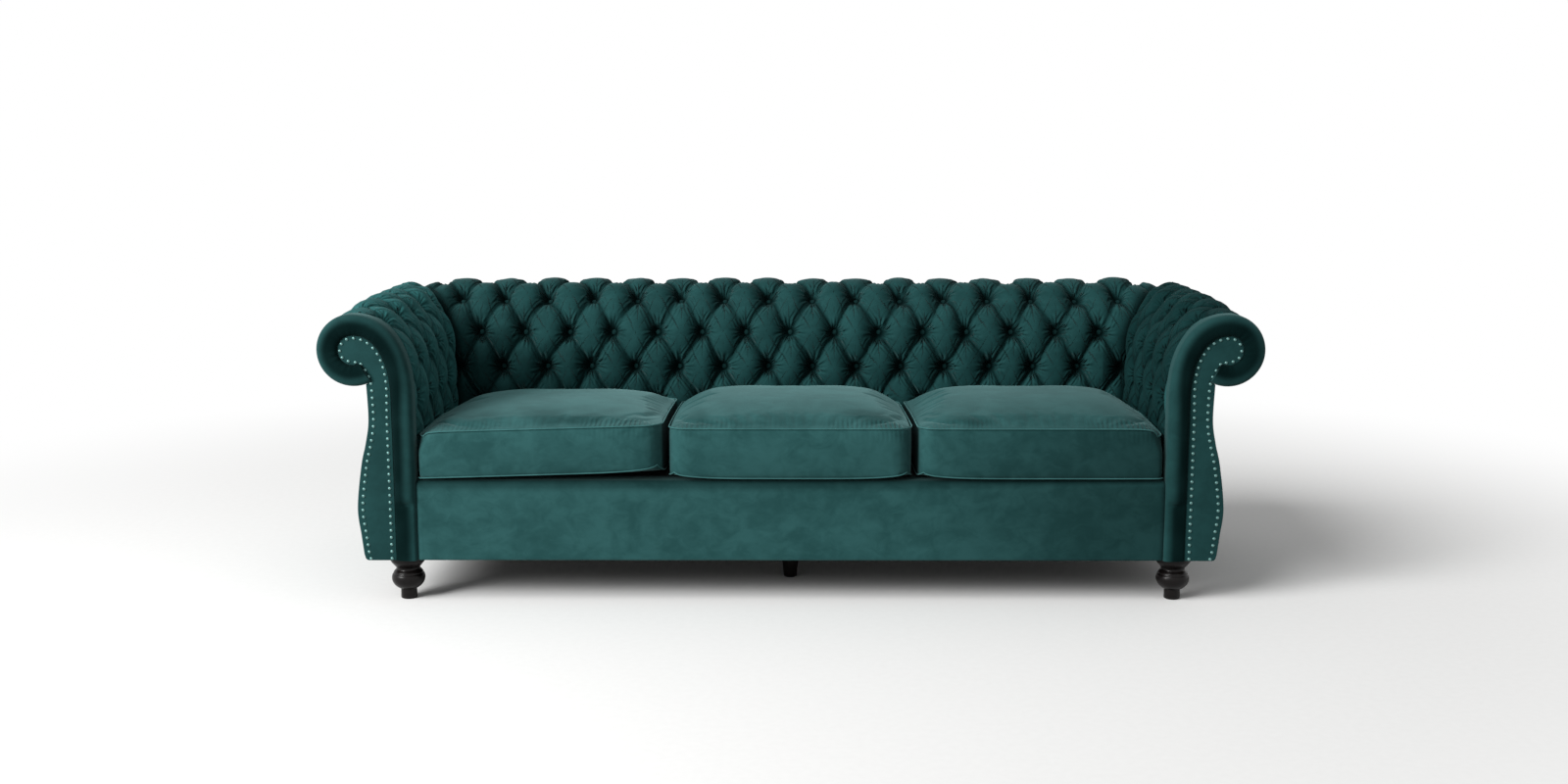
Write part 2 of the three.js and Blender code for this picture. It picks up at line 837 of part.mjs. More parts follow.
// Feet
const footTop = legHeight - fit;

function withBore(profile) {
  const bore = boltRadius + fit;
  const depth = boltBottom - fit;
  return [...profile, [bore, footTop], [bore, depth], [0, depth]];
}

function turnedFoot(place) {
  const low = ballLowShare * footTop;
  const high = ballHighShare * footTop;
  const lean = (share) => Math.acos((share * footFlangeRadius) / ballRadius);
  const [lower, upper] = [-lean(toeTopShare), lean(neckShare)];
  const ball = Array.from({ length: ballSteps + 1 }, (_, step) => {
    const angle = THREE.MathUtils.lerp(lower, upper, step / ballSteps);
    const up = THREE.MathUtils.mapLinear(Math.sin(angle), Math.sin(lower), Math.sin(upper), low, high);
    return [ballRadius * Math.cos(angle), up];
  });
  const scaled = (shares) => shares.map(([r, h]) => [r * footFlangeRadius, h * footTop]);
  return turned(withBore([...scaled(toeShares), ...ball, ...scaled(stemShares)]), footSides, place);
}

function taperedFoot(place) {
  const profile = [
    [0, 0],
    [taperBottomRadius - taperEase, 0],
    [taperBottomRadius, taperEase],
    [taperTopRadius, footTop],
  ];
  return turned(withBore(profile), footSides, place);
}

function hangerBolt(place) {
  return upright(boltRadius, [boltBottom, boltTop], boltSides, place);
}

// Finishes
function finish(color, roughness, metalness) {
  return new THREE.MeshStandardMaterial({ color, roughness, metalness });
}
const velvet = finish(0x2f5553, 0.85, 0);
const frameWood = finish(0xb08a5c, 0.7, 0);
const footWood = finish(0x1f1a1a, 0.35, 0);
const springSteel = finish(0x8c8f92, 0.4, 1);
const foam = finish(0xe6dcb8, 0.95, 0);
const blackCloth = finish(0x1b1c1d, 0.95, 0);
const zipMetal = finish(0x9a9c9e, 0.35, 1);

function add(group, name, geometry, material) {
  const mesh = new THREE.Mesh(geometry, material.clone());
  mesh.name = name;
  group.add(mesh);
}

// Assembly
const sofa = new THREE.Group();
const sides = [
  ["left", -1],
  ["right", 1],
];

const frontFoot = [armInner + frontFootPlace.out, frontPlane + frontFootPlace.back];
const rearFoot = [armInner + rearFootPlace.out, backInner + rearFootPlace.back];
const middleFoot = [0, frontPlane + middleFootBack];
const outerPostSpan = [railReach - postThickness, railReach];
const blockCorner = armInner + sideRailOut - fit;

const armPieces = [
  ["arm_tufted_cover", armPad(), velvet],
  ["arm_front_border", armFrontBorder(), velvet],
  ["arm_facing_panel", armFacing(), velvet],
  ["arm_outer_cover", armOuterCover(), velvet],
  ["arm_front_board", armFrontBoard(), frameWood],
  ["arm_rear_board", armRearBoard(), frameWood],
  ["arm_top_rail", armTopRail(), frameWood],
  ["arm_tack_rail", armTackRail(), frameWood],
  ["side_rail", sideRail(), frameWood],
  ["front_corner_block", cornerBlock([blockCorner, frontRailBack + fit], 1, frontFoot), frameWood],
  ["rear_corner_block", cornerBlock([blockCorner, rearRailFront - fit], -1, rearFoot), frameWood],
  ["outer_back_post", backPost(outerPostSpan), frameWood],
  ["inner_back_post", backPost([postPlace - postThickness / 2, postPlace + postThickness / 2]), frameWood],
  ["front_foot", turnedFoot(frontFoot), footWood],
  ["rear_foot", taperedFoot(rearFoot), footWood],
  ["front_foot_bolt", hangerBolt(frontFoot), springSteel],
  ["rear_foot_bolt", hangerBolt(rearFoot), springSteel],
];
for (const [side, sign] of sides) {
  const half = new THREE.Group();
  half.scale.x = sign;
  for (const [name, geometry, material] of armPieces) add(half, side + "_" + name, geometry, material);
  sofa.add(half);
}

add(sofa, "back_tufted_cover", backPad(), velvet);
add(sofa, "back_outer_cover", backOuterCover(), velvet);
add(sofa, "front_apron", apron(), velvet);
add(sofa, "back_top_rail", backTopRail(), frameWood);
const frontRail = block([-railReach, railReach], [frameFront, frontRailBack], [frameBottom, railTop]);
add(sofa, "front_rail", frontRail, frameWood);
const rearRailReach = armInner + sideRailOut + sideRailThickness;
const rearRailSpan = [-rearRailReach, rearRailReach];
const rearRail = block(rearRailSpan, [rearRailFront, rearRailRear], [frameBottom, railTop]);
add(sofa, "rear_rail", rearRail, frameWood);
add(sofa, "centre_stretcher", stretcher(middleFoot), frameWood);
add(sofa, "middle_foot", taperedFoot(middleFoot), footWood);
add(sofa, "middle_foot_bolt", hangerBolt(middleFoot), springSteel);
add(sofa, "deck_pad", deckPad(), blackCloth);
const mirrored = ([x, y]) => [-x, y];
const boltPlaces = [frontFoot, rearFoot, mirrored(frontFoot), mirrored(rearFoot), middleFoot];
add(sofa, "dust_cover", dustCloth(boltPlaces), blackCloth);

const cushionPieces = [
  ["cover", cushionCover(), velvet],
  ["foam_core", cushionCore(), foam],
  ["zip_tape", zipTape(), blackCloth],
  ["zip_slider", zipSlider(), zipMetal],
];
["left", "centre", "right"].forEach((seat, index) => {
  const centre = (index - (cushionCount - 1) / 2) * cushionPitch;
  const cushion = new THREE.Group();
  cushion.position.x = centre;
  for (const [name, geometry, material] of cushionPieces)
    add(cushion, seat + "_cushion_" + name, geometry, material);
  sofa.add(cushion);
  add(sofa, seat + "_seat_springs", springPack(centre), springSteel);
});

export default sofa;
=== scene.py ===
# A three-seat chesterfield in deep-buttoned velvet: covers, cushions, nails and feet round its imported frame.
# Metres, +Z up. X runs along the seat, Y to the rear, and the origin is on the floor under the middle.
import json
import logging
import math
from bisect import bisect_right
from collections.abc import Callable, Sequence
from dataclasses import dataclass, field
from enum import Enum
from functools import cached_property

import bmesh
import bpy
from bmesh.types import BMVert, BMesh
from bpy.types import Light, Material, Mesh, Node, NodeSocket, NodeTree, Object
from mathutils import Matrix, Vector, noise
from mathutils.geometry import interpolate_bezier


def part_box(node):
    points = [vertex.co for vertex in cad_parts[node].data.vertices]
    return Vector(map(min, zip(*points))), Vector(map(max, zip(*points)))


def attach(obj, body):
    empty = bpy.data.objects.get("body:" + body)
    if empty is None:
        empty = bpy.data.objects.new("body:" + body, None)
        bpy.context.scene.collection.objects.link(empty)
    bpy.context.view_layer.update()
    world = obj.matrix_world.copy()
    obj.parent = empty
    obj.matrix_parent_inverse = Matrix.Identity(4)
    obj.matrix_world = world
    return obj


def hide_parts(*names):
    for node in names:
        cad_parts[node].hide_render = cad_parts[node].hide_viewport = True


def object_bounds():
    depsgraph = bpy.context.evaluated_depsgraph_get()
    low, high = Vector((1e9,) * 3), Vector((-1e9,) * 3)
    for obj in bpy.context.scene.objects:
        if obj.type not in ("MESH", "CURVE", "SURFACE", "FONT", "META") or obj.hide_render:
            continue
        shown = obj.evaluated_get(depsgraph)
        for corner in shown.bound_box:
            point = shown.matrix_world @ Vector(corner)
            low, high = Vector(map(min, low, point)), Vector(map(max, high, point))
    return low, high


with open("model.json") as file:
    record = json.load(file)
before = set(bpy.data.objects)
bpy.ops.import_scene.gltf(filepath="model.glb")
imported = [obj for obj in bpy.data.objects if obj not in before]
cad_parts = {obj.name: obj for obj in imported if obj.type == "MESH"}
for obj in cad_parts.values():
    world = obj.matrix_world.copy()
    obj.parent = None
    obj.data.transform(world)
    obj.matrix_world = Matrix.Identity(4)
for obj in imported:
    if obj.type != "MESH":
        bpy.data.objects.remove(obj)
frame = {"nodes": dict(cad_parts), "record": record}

CAD_LOW, CAD_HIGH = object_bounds()
MM = 0.001
FIT = 0.3 * MM  # gap that touching pieces keep
WELD = 0.01 * MM  # points closer than this are one point
SHARP_EDGE = math.radians(50)  # edges that turn more than this stay crisp
SOFA_BODY = "sofa"
GATHER_LAYER = "gather"  # offset to the nearest button in X and Y, and to the nearest pleat in Z
SHADE_LAYER = "shade"  # painted shade: how far the velvet is mixed to near black, standing in for the shade in hollows, creases, gaps and away from the lamps
PUCKER_LAYER = "pucker"  # where a seam gathers the cloth of a cushion

log = logging.getLogger("chesterfield")


# Small tools
def srgb(colour: str) -> tuple[float, float, float, float]:
    """Turn an sRGB hex colour to linear light.

    Args:
        colour: six hex digits after a hash.

    Returns:
        Linear red, green, blue and an alpha of one.
    """
    channels = [int(colour[start : start + 2], 16) / 255 for start in (1, 3, 5)]
    linear = [c / 12.92 if c <= 0.04045 else ((c + 0.055) / 1.055) ** 2.4 for c in channels]
    return (*linear, 1.0)


def mix(start: float, end: float, share: float) -> float:
    """Return the value a share of the way from start to end."""
    return start + (end - start) * share


def ease(low: float, high: float, value: float) -> float:
    """Rise smoothly from 0 at low to 1 at high.

    Args:
        low: value where the rise starts.
        high: value where it ends.
        value: the value to look up.

    Returns:
        A share between 0 and 1.
    """
    share = min(max((value - low) / (high - low), 0.0), 1.0)
    return share * share * (3 - 2 * share)


def ripple_noise(point: Vector, size: float, seed: float) -> float:
    """Return smooth noise from -1 to 1 whose lumps are about size wide."""
    return noise.noise(point / size + Vector((seed, -seed, 2 * seed)))


def add_node(
    tree: NodeTree, kind: str, inputs: dict | None = None, **settings: object
) -> Node:
    """Add a shader node with its settings, values and links.

    Args:
        tree: the material's or world's node tree.
        kind: the node's type name.
        inputs: a value, or another node's output, for each named or numbered input.
        settings: properties of the node itself.

    Returns:
        The new node.
    """
    made = tree.nodes.new(kind)
    for name, value in settings.items():
        setattr(made, name, value)
    for key, value in (inputs or {}).items():
        if isinstance(value, NodeSocket):
            tree.links.new(value, made.inputs[key])
        else:
            made.inputs[key].default_value = value
    return made


def object_place(tree: NodeTree) -> NodeSocket:
    """Read the object's own coordinates."""
    return add_node(tree, "ShaderNodeTexCoord").outputs["Object"]


def noise_field(
    tree: NodeTree, place: NodeSocket, size: float, **inputs: float
) -> NodeSocket:
    """Add smooth noise from 0 to 1 whose lumps are about size wide."""
    return add_node(tree, "ShaderNodeTexNoise", {"Vector": place, "Scale": 1 / size, **inputs}).outputs["Fac"]


def smooth_range(
    tree: NodeTree, value: NodeSocket, low: float, high: float
) -> NodeSocket:
    """Rise smoothly from 0 where the value is low to 1 where it is high."""
    reach = {"Value": value, "From Min": low, "From Max": high}
    return add_node(tree, "ShaderNodeMapRange", reach, interpolation_type="SMOOTHSTEP").outputs[0]


def calculated(tree: NodeTree, operation: str, *terms: object) -> NodeSocket:
    """Calculate with one or two values."""
    return add_node(tree, "ShaderNodeMath", dict(enumerate(terms)), operation=operation).outputs[0]


def product(tree: NodeTree, first: NodeSocket, *others: object) -> NodeSocket:
    """Multiply several values."""
    for other in others:
        first = calculated(tree, "MULTIPLY", first, other)
    return first


def blended(
    tree: NodeTree, share: NodeSocket, start: str, end: str | NodeSocket
) -> NodeSocket:
    """Mix two colours, each a hex colour or, for the second, another node's colour."""
    last = srgb(end) if isinstance(end, str) else end
    return add_node(tree, "ShaderNodeMix", {0: share, 6: srgb(start), 7: last}, data_type="RGBA").outputs[2]


def bumped(
    tree: NodeTree, height: NodeSocket, distance: float, **inputs: object
) -> NodeSocket:
    """Tilt the surface as a relief of this height would, and return its normal."""
    relief = {"Height": height, "Distance": distance, **inputs}
    return add_node(tree, "ShaderNodeBump", relief).outputs["Normal"]


def new_surface(name: str) -> tuple[Material, NodeTree]:
    """Make an empty material that uses nodes, and return it with its node tree."""
    material = bpy.data.materials.new(name)
    material.use_nodes = True
    material.node_tree.nodes.clear()
    return material, material.node_tree


# Finishes
@dataclass(frozen=True)
class CottonVelvet:
    """Cotton velvet with a short dense pile: deep green, light along the pile, crushed in soft clouds, and
    mixed to a near-black painted shade where a piece marks shade.
    """

    name: str = "cotton_velvet"
    pile: str = "#2C5858"
    crushed: str = "#1E4747"
    # painted shade: the near-black colour mixed in where a piece marks shade
    deep: str = "#000E0E"
    sheen_colour: str = "#AEDCDC"
    sheen: float = 0.34
    sheen_roughness: float = 0.42
    roughness: float = 0.82
    specular: float = 0.12
    cloud: float = 95 * MM  # clouds where the pile was brushed another way
    stroke: float = 16 * MM  # marks left by a brush
    stroke_share: float = 0.42
    brushing: tuple[float, float, float] = (0.4, 0.6, 0.55)
    crushed_to: float = 0.34  # the pile is crushed where the marks are under this, and upright over the next
    upright_from: float = 0.66
    tuft_of_pile: float = 1.1 * MM  # the pile itself, drawn coarser than the real 0.3 mm so that it shows
    pile_depth: float = 0.35 * MM
    buttoned: bool = False
    puckered: bool = False
    pucker_pitch: float = 11 * MM
    pucker_depth: float = 4 * MM

    # Creases that the bump adds round each button and along each pleat
    fan_folds: int = 19
    fan_reach: float = 46 * MM
    fan_open_share: float = 0.2
    fan_full_share: float = 0.45
    fan_depth: float = 2.8 * MM
    pleat_spacing: float = 9.0 * MM
    pleat_reach: float = 27 * MM
    pleat_full_share: float = 0.2
    pleat_end_share: float = 1.5  # pleats fade out between these shares of the fan's reach
    pleat_fade_share: float = 0.7
    pleat_depth: float = 4.0 * MM
    fold_patch: float = 45 * MM
    patch_from: float = 0.38
    patch_to: float = 0.55

    def material(self) -> Material:
        """Build the velvet's material."""
        surface, tree = new_surface(self.name)
        place = object_place(tree)
        clouds = noise_field(tree, place, self.cloud, Detail=3.0, Roughness=0.55, Distortion=0.6)
        brushed = add_node(tree, "ShaderNodeMapping", {"Vector": place, "Scale": self.brushing}).outputs[0]
        strokes = noise_field(tree, brushed, self.stroke, Detail=3.0, Roughness=0.6, Distortion=0.8)
        marks = add_node(
            tree, "ShaderNodeMix", {0: self.stroke_share, 2: clouds, 3: strokes}, data_type="FLOAT"
        )
        lay = smooth_range(tree, marks.outputs[0], self.crushed_to, self.upright_from)
        # painted shade: the attribute that mixes the velvet to near black
        shade = add_node(tree, "ShaderNodeAttribute", attribute_name=SHADE_LAYER)
        grain = noise_field(tree, place, self.tuft_of_pile, Detail=2.0, Roughness=0.7)
        normal = bumped(tree, grain, self.pile_depth, Strength=0.5)
        if self.buttoned:
            normal = self.creases(tree, place, normal)
        if self.puckered:
            normal = self.puckers(tree, place, normal)
        open_pile = add_node(
            tree, "ShaderNodeBsdfPrincipled",
            {
                "Base Color": blended(tree, lay, self.crushed, self.pile),
                "Roughness": self.roughness,
                "Specular IOR Level": self.specular,
                "Sheen Weight": self.sheen,
                "Sheen Roughness": self.sheen_roughness,
                "Sheen Tint": srgb(self.sheen_colour),
                "Normal": normal,
            },
        )
        painted_shade_bsdf = add_node(
            tree, "ShaderNodeBsdfPrincipled",
            {"Base Color": srgb(self.deep), "Roughness": 1.0, "Specular IOR Level": 0.05, "Normal": normal},
        )
        mixed = add_node(
            tree, "ShaderNodeMixShader",
            {0: shade.outputs["Fac"], 1: open_pile.outputs["BSDF"], 2: painted_shade_bsdf.outputs["BSDF"]},
        )
        add_node(tree, "ShaderNodeOutputMaterial", {"Surface": mixed.outputs[0]})
        return surface

    def puckers(
        self, tree: NodeTree, place: NodeSocket, under: NodeSocket
    ) -> NodeSocket:
        """Lay short folds across the seams over the pile.

        Args:
            tree: the velvet's node tree.
            place: the object's own coordinates.
            under: the normal that the pile gives.

        Returns:
            The normal to read instead.
        """
        bands = add_node(
            tree, "ShaderNodeTexWave",
            {
                "Vector": place, "Scale": math.tau / (20 * self.pucker_pitch),
                "Distortion": 5.0, "Detail": 2.0, "Detail Scale": 0.5,
            },
        )
        gathered = add_node(tree, "ShaderNodeAttribute", attribute_name=PUCKER_LAYER)
        height = product(tree, bands.outputs["Fac"], gathered.outputs["Fac"])
        return bumped(tree, height, self.pucker_depth, Normal=under)

    def creases(
        self, tree: NodeTree, place: NodeSocket, under: NodeSocket
    ) -> NodeSocket:
        """Lay fine creases over the pile: a fan round each button and a few folds beside each pleat.

        Args:
            tree: the velvet's node tree.
            place: the object's own coordinates.
            under: the normal that the pile gives.

        Returns:
            The normal to read instead.
        """
        gather = add_node(tree, "ShaderNodeAttribute", attribute_name=GATHER_LAYER)
        parts = add_node(tree, "ShaderNodeSeparateXYZ", {"Vector": gather.outputs["Vector"]})
        x, y, pleat = parts.outputs["X"], parts.outputs["Y"], parts.outputs["Z"]
        flat = add_node(tree, "ShaderNodeCombineXYZ", {"X": x, "Y": y, "Z": 0.0}).outputs[0]
        turned = add_node(tree, "ShaderNodeTexGradient", {"Vector": flat}, gradient_type="RADIAL")
        turn = turned.outputs["Fac"]
        reach = add_node(tree, "ShaderNodeVectorMath", {0: flat}, operation="LENGTH").outputs["Value"]
        folds = calculated(tree, "SINE", product(tree, turn, math.tau * self.fan_folds))
        full = self.fan_full_share * self.fan_reach
        opening = smooth_range(tree, reach, self.fan_open_share * self.fan_reach, full)
        fading = smooth_range(tree, reach, self.fan_reach, full)
        fan = product(tree, opening, fading, folds)
        over_fan = bumped(tree, fan, self.fan_depth / 2, Normal=under)
        wave = calculated(tree, "COSINE", product(tree, pleat, math.tau / self.pleat_spacing))
        beside = calculated(tree, "ABSOLUTE", pleat)
        near = smooth_range(tree, beside, self.pleat_reach, self.pleat_full_share * self.pleat_reach)
        pleat_end, pleat_fade = self.pleat_end_share * self.fan_reach, self.pleat_fade_share * self.fan_reach
        by_button = smooth_range(tree, reach, pleat_end, pleat_fade)
        patches = noise_field(tree, place, self.fold_patch, Detail=1.0)
        here = smooth_range(tree, patches, self.patch_from, self.patch_to)
        pleats = product(tree, near, by_button, here, wave)
        return bumped(tree, pleats, self.pleat_depth / 2, Normal=over_fan)


@dataclass(frozen=True)
class GrainedFinish:
    """A finish with a fine grain in its colour and surface, for the pieces that are not velvet."""

    name: str
    light: str
    dark: str
    roughness: float
    grain: float
    grain_depth: float
    stretch: tuple[float, float, float] = (1.0, 1.0, 1.0)
    metallic: float = 0.0
    specular: float = 0.5
    coat: float = 0.0
    coat_roughness: float = 0.1
    roughness_spread: float = 0.08

    def material(self) -> Material:
        """Build the material."""
        surface, tree = new_surface(self.name)
        along = add_node(tree, "ShaderNodeMapping", {"Vector": object_place(tree), "Scale": self.stretch})
        grain = noise_field(tree, along.outputs[0], self.grain, Detail=5.0, Roughness=0.6)
        low, high = self.roughness - self.roughness_spread, self.roughness + self.roughness_spread
        wear = add_node(tree, "ShaderNodeMapRange", {"Value": grain, "To Min": low, "To Max": high})
        shader = add_node(
            tree, "ShaderNodeBsdfPrincipled",
            {
                "Base Color": blended(tree, grain, self.dark, self.light),
                "Roughness": wear.outputs[0],
                "Metallic": self.metallic,
                "Specular IOR Level": self.specular,
                "Coat Weight": self.coat,
                "Coat Roughness": self.coat_roughness,
                "Normal": bumped(tree, grain, self.grain_depth, Strength=0.6),
            },
        )
        add_node(tree, "ShaderNodeOutputMaterial", {"Surface": shader.outputs["BSDF"]})
        return surface


# Beech turned on a lathe, stained espresso and sprayed with satin lacquer: near black, soft highlights.
LACQUERED_BEECH = GrainedFinish(
    "espresso_lacquered_beech", "#120D0D", "#070606", 0.33, 6 * MM, 0.06 * MM,
    stretch=(1.0, 1.0, 0.25), specular=0.16, coat=0.06, coat_roughness=0.16,
)
# Sawn and planed hardwood of the hidden frame: pale brown, long grain, no lacquer.
PLANED_HARDWOOD = GrainedFinish(
    "planed_hardwood", "#C9A677", "#96703F", 0.7, 5 * MM, 0.2 * MM, stretch=(0.12, 1.0, 1.0)
)
# Oil-tempered spring wire and zinc-plated bolts: grey, half polished by drawing.
DRAWN_STEEL = GrainedFinish(
    "drawn_steel", "#8E9194", "#6E7073", 0.4, 1.5 * MM, 0.02 * MM, metallic=1.0
)
# Domed upholstery nails, nickel plated and lightly brushed: pale and cool, tinted green as a painted
# reflection of the velvet round them, with a soft glint.
NICKEL_WITH_PAINTED_REFLECTION = GrainedFinish(
    "nickel_plated_steel", "#6F928F", "#577B78", 0.5, 1.2 * MM, 0.02 * MM, metallic=1.0
)
# Die-cast zinc of the zip sliders.
CAST_ZINC = GrainedFinish("cast_zinc", "#A3A5A8", "#828487", 0.38, 1 * MM, 0.03 * MM, metallic=1.0)
# Cut polyurethane foam: pale cream, open pores, quite dull.
CUT_FOAM = GrainedFinish(
    "cut_polyurethane_foam", "#EFE5C4", "#D2C59A", 0.95, 2.2 * MM, 0.6 * MM, specular=0.2
)
# Black lining cloth under the frame: thin, dull, plain woven.
BLACK_CAMBRIC = GrainedFinish(
    "black_cambric", "#242526", "#141516", 0.95, 0.9 * MM, 0.15 * MM, specular=0.2
)
# Heavier black cloth on the seat platform.
PLATFORM_CLOTH = GrainedFinish(
    "black_platform_cloth", "#2A2C2C", "#17191A", 0.92, 1.6 * MM, 0.3 * MM, specular=0.2
)
# Woven nylon tape of the zips.
NYLON_TAPE = GrainedFinish(
    "woven_nylon_tape", "#1F3F3D", "#122B2A", 0.8, 0.8 * MM, 0.12 * MM, specular=0.3
)


class Palette:
    """The materials, each made once."""

    def __init__(self) -> None:
        """Start with no material made."""
        self.made: dict[str, Material] = {}

    def of(self, finish: CottonVelvet | GrainedFinish) -> Material:
        """Return the material of a finish, making it the first time."""
        if finish.name not in self.made:
            self.made[finish.name] = finish.material()
        return self.made[finish.name]


PALETTE = Palette()
VELVET = CottonVelvet()
# The same velvet on the cushions, puckered where the seams gather it.
CUSHION_VELVET = CottonVelvet(name="cotton_velvet_on_cushions", puckered=True)
# The same velvet on the frame and the buttons, painted darker: a shaded copy that stands in for the shade that
# falls on them.
SHADED_FRAME_VELVET = CottonVelvet(name="cotton_velvet_painted_darker", pile="#1B4242", crushed="#143838", sheen=0.24)
# The same velvet on the buttoned back, painted darker still as a shaded copy, with fine folds.
SHADED_BUTTONED_VELVET = CottonVelvet(
    name="cotton_velvet_buttoned", pile="#1C4747", crushed="#133A3A", sheen=0.13, buttoned=True
)
# The same on the arms, painted lighter so that the left arm, which turns from the lamps, reads lighter; with
# little sheen, so that no edge catches the light.
LIGHTENED_ARM_VELVET = CottonVelvet(
    name="cotton_velvet_buttoned_arms", pile="#2A6262", crushed="#1D4E4E", sheen=0.04, buttoned=True
)
# The same velvet over the cord of a welt, painted a little lighter: a painted highlight along the seams.
LIGHTENED_WELT_VELVET = CottonVelvet(name="cotton_velvet_over_cord", pile="#3C6E6E", crushed="#315F5F", sheen=0.4)


# Forming and finishing meshes
def formed_grid(columns: int, rows: int, place: Callable[[float, float], Vector]) -> BMesh:
    """Lay a grid and move each of its points to its place.

    Args:
        columns: faces along the grid.
        rows: faces up the grid.
        place: gives the point for the two shares, 0 to 1 along and 0 to 1 up.

    Returns:
        The shaped mesh.
    """
    shaped = bmesh.new()
    bmesh.ops.create_grid(shaped, x_segments=columns, y_segments=rows, size=0.5)
    for vertex in shaped.verts:
        vertex.co = place(vertex.co.x + 0.5, vertex.co.y + 0.5)
    return shaped


def closed(shaped: BMesh) -> BMesh:
    """Weld the seams, fill what is open and turn the faces outwards."""
    bmesh.ops.remove_doubles(shaped, verts=shaped.verts[:], dist=WELD)
    rims = [edge for edge in shaped.edges if edge.is_boundary]
    if rims:
        bmesh.ops.holes_fill(shaped, edges=rims, sides=0)
    bmesh.ops.recalc_face_normals(shaped, faces=shaped.faces[:])
    return shaped


def cut_off(shaped: BMesh, point: Vector, normal: Vector) -> None:
    """Cut away what lies past a plane, on the side that its normal points to."""
    everything = shaped.verts[:] + shaped.edges[:] + shaped.faces[:]
    bmesh.ops.bisect_plane(
        shaped, geom=everything, dist=WELD, plane_co=point, plane_no=normal, clear_outer=True
    )


def dressed(
    name: str,
    shaped: BMesh,
    finish: CottonVelvet | GrainedFinish,
    body: str = SOFA_BODY,
    replaced: Sequence[str] = (),
) -> Object:
    """Make a finished piece of a mesh and let it ride on its body.

    Args:
        name: name of the piece.
        shaped: its mesh, which is freed.
        finish: its finish.
        body: the body that it moves with.
        replaced: nodes that it stands for.

    Returns:
        The piece's object.
    """
    for face in shaped.faces:
        face.smooth = True
    for edge in shaped.edges:
        edge.smooth = len(edge.link_faces) != 2 or edge.calc_face_angle(0.0) < SHARP_EDGE
    piece = linked_object(name, shaped)
    piece.data.materials.append(PALETTE.of(finish))
    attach(piece, body)
    if replaced:
        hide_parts(*replaced)
    log.info("%s: %d faces", name, len(piece.data.polygons))
    return piece


def dressed_node(
    node: str,
    shaped: BMesh,
    finish: CottonVelvet | GrainedFinish,
    body: str = SOFA_BODY,
) -> Object:
    """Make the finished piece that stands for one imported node, and is named after it."""
    return dressed(node + "_dressed", shaped, finish, body, replaced=[node])


def linked_object(name: str, shaped: BMesh) -> Object:
    """Put a mesh, which is freed, into the scene as an object."""
    mesh = bpy.data.meshes.new(name)
    shaped.to_mesh(mesh)
    shaped.free()
    made = bpy.data.objects.new(name, mesh)
    bpy.context.scene.collection.objects.link(made)
    return made


def turned(profile: Sequence[tuple[float, float]], sides: int) -> BMesh:
    """Spin a profile of radius and height round the Z axis.

    Args:
        profile: points from the bottom up, on the axis at both ends.
        sides: faces round the axis.

    Returns:
        The closed mesh.
    """
    shaped = bmesh.new()
    points = [shaped.verts.new((radius, 0.0, height)) for radius, height in profile]
    edges = [shaped.edges.new(pair) for pair in zip(points, points[1:])]
    bmesh.ops.spin(
        shaped, geom=points + edges, cent=(0, 0, 0), axis=(0, 0, 1), angle=math.tau, steps=sides,
        use_merge=True,
    )
    return closed(shaped)


def copied_to(pattern: BMesh, places: Sequence[Matrix]) -> BMesh:
    """Set a copy of a small mesh at each place.

    Args:
        pattern: the mesh to copy, which is freed.
        places: a transform for each copy.

    Returns:
        One mesh of all the copies.
    """
    small = bpy.data.meshes.new("pattern")
    pattern.to_mesh(small)
    pattern.free()
    everything = bmesh.new()
    for place in places:
        start = len(everything.verts)
        everything.from_mesh(small)
        everything.verts.ensure_lookup_table()
        bmesh.ops.transform(everything, matrix=place, verts=everything.verts[start:])
    bpy.data.meshes.remove(small)
    return everything


class Route:
    """A line of points that knows its length, and its place and direction at any length."""

    def __init__(self, points: Sequence[Vector]) -> None:
        """Measure the line."""
        self.points = [Vector(point) for point in points]
        self.reached = [0.0]
        for start, end in zip(self.points, self.points[1:]):
            self.reached.append(self.reached[-1] + (end - start).length)
        last = len(self.points) - 1
        self.headings = [
            (self.points[min(k + 1, last)] - self.points[max(k - 1, 0)]).normalized() for k in range(last + 1)
        ]

    @property
    def length(self) -> float:
        """Return the whole length."""
        return self.reached[-1]

    def at(self, length: float) -> tuple[Vector, Vector]:
        """Find the point and the heading at a length.

        Args:
            length: how far along the line.

        Returns:
            The point and the unit heading there.
        """
        length = min(max(length, 0.0), self.length)
        k = min(bisect_right(self.reached, length), len(self.points) - 1)
        span = self.reached[k] - self.reached[k - 1]
        share = (length - self.reached[k - 1]) / span if span else 0.0
        point = self.points[k - 1].lerp(self.points[k], share)
        return point, self.headings[k - 1].lerp(self.headings[k], share).normalized()


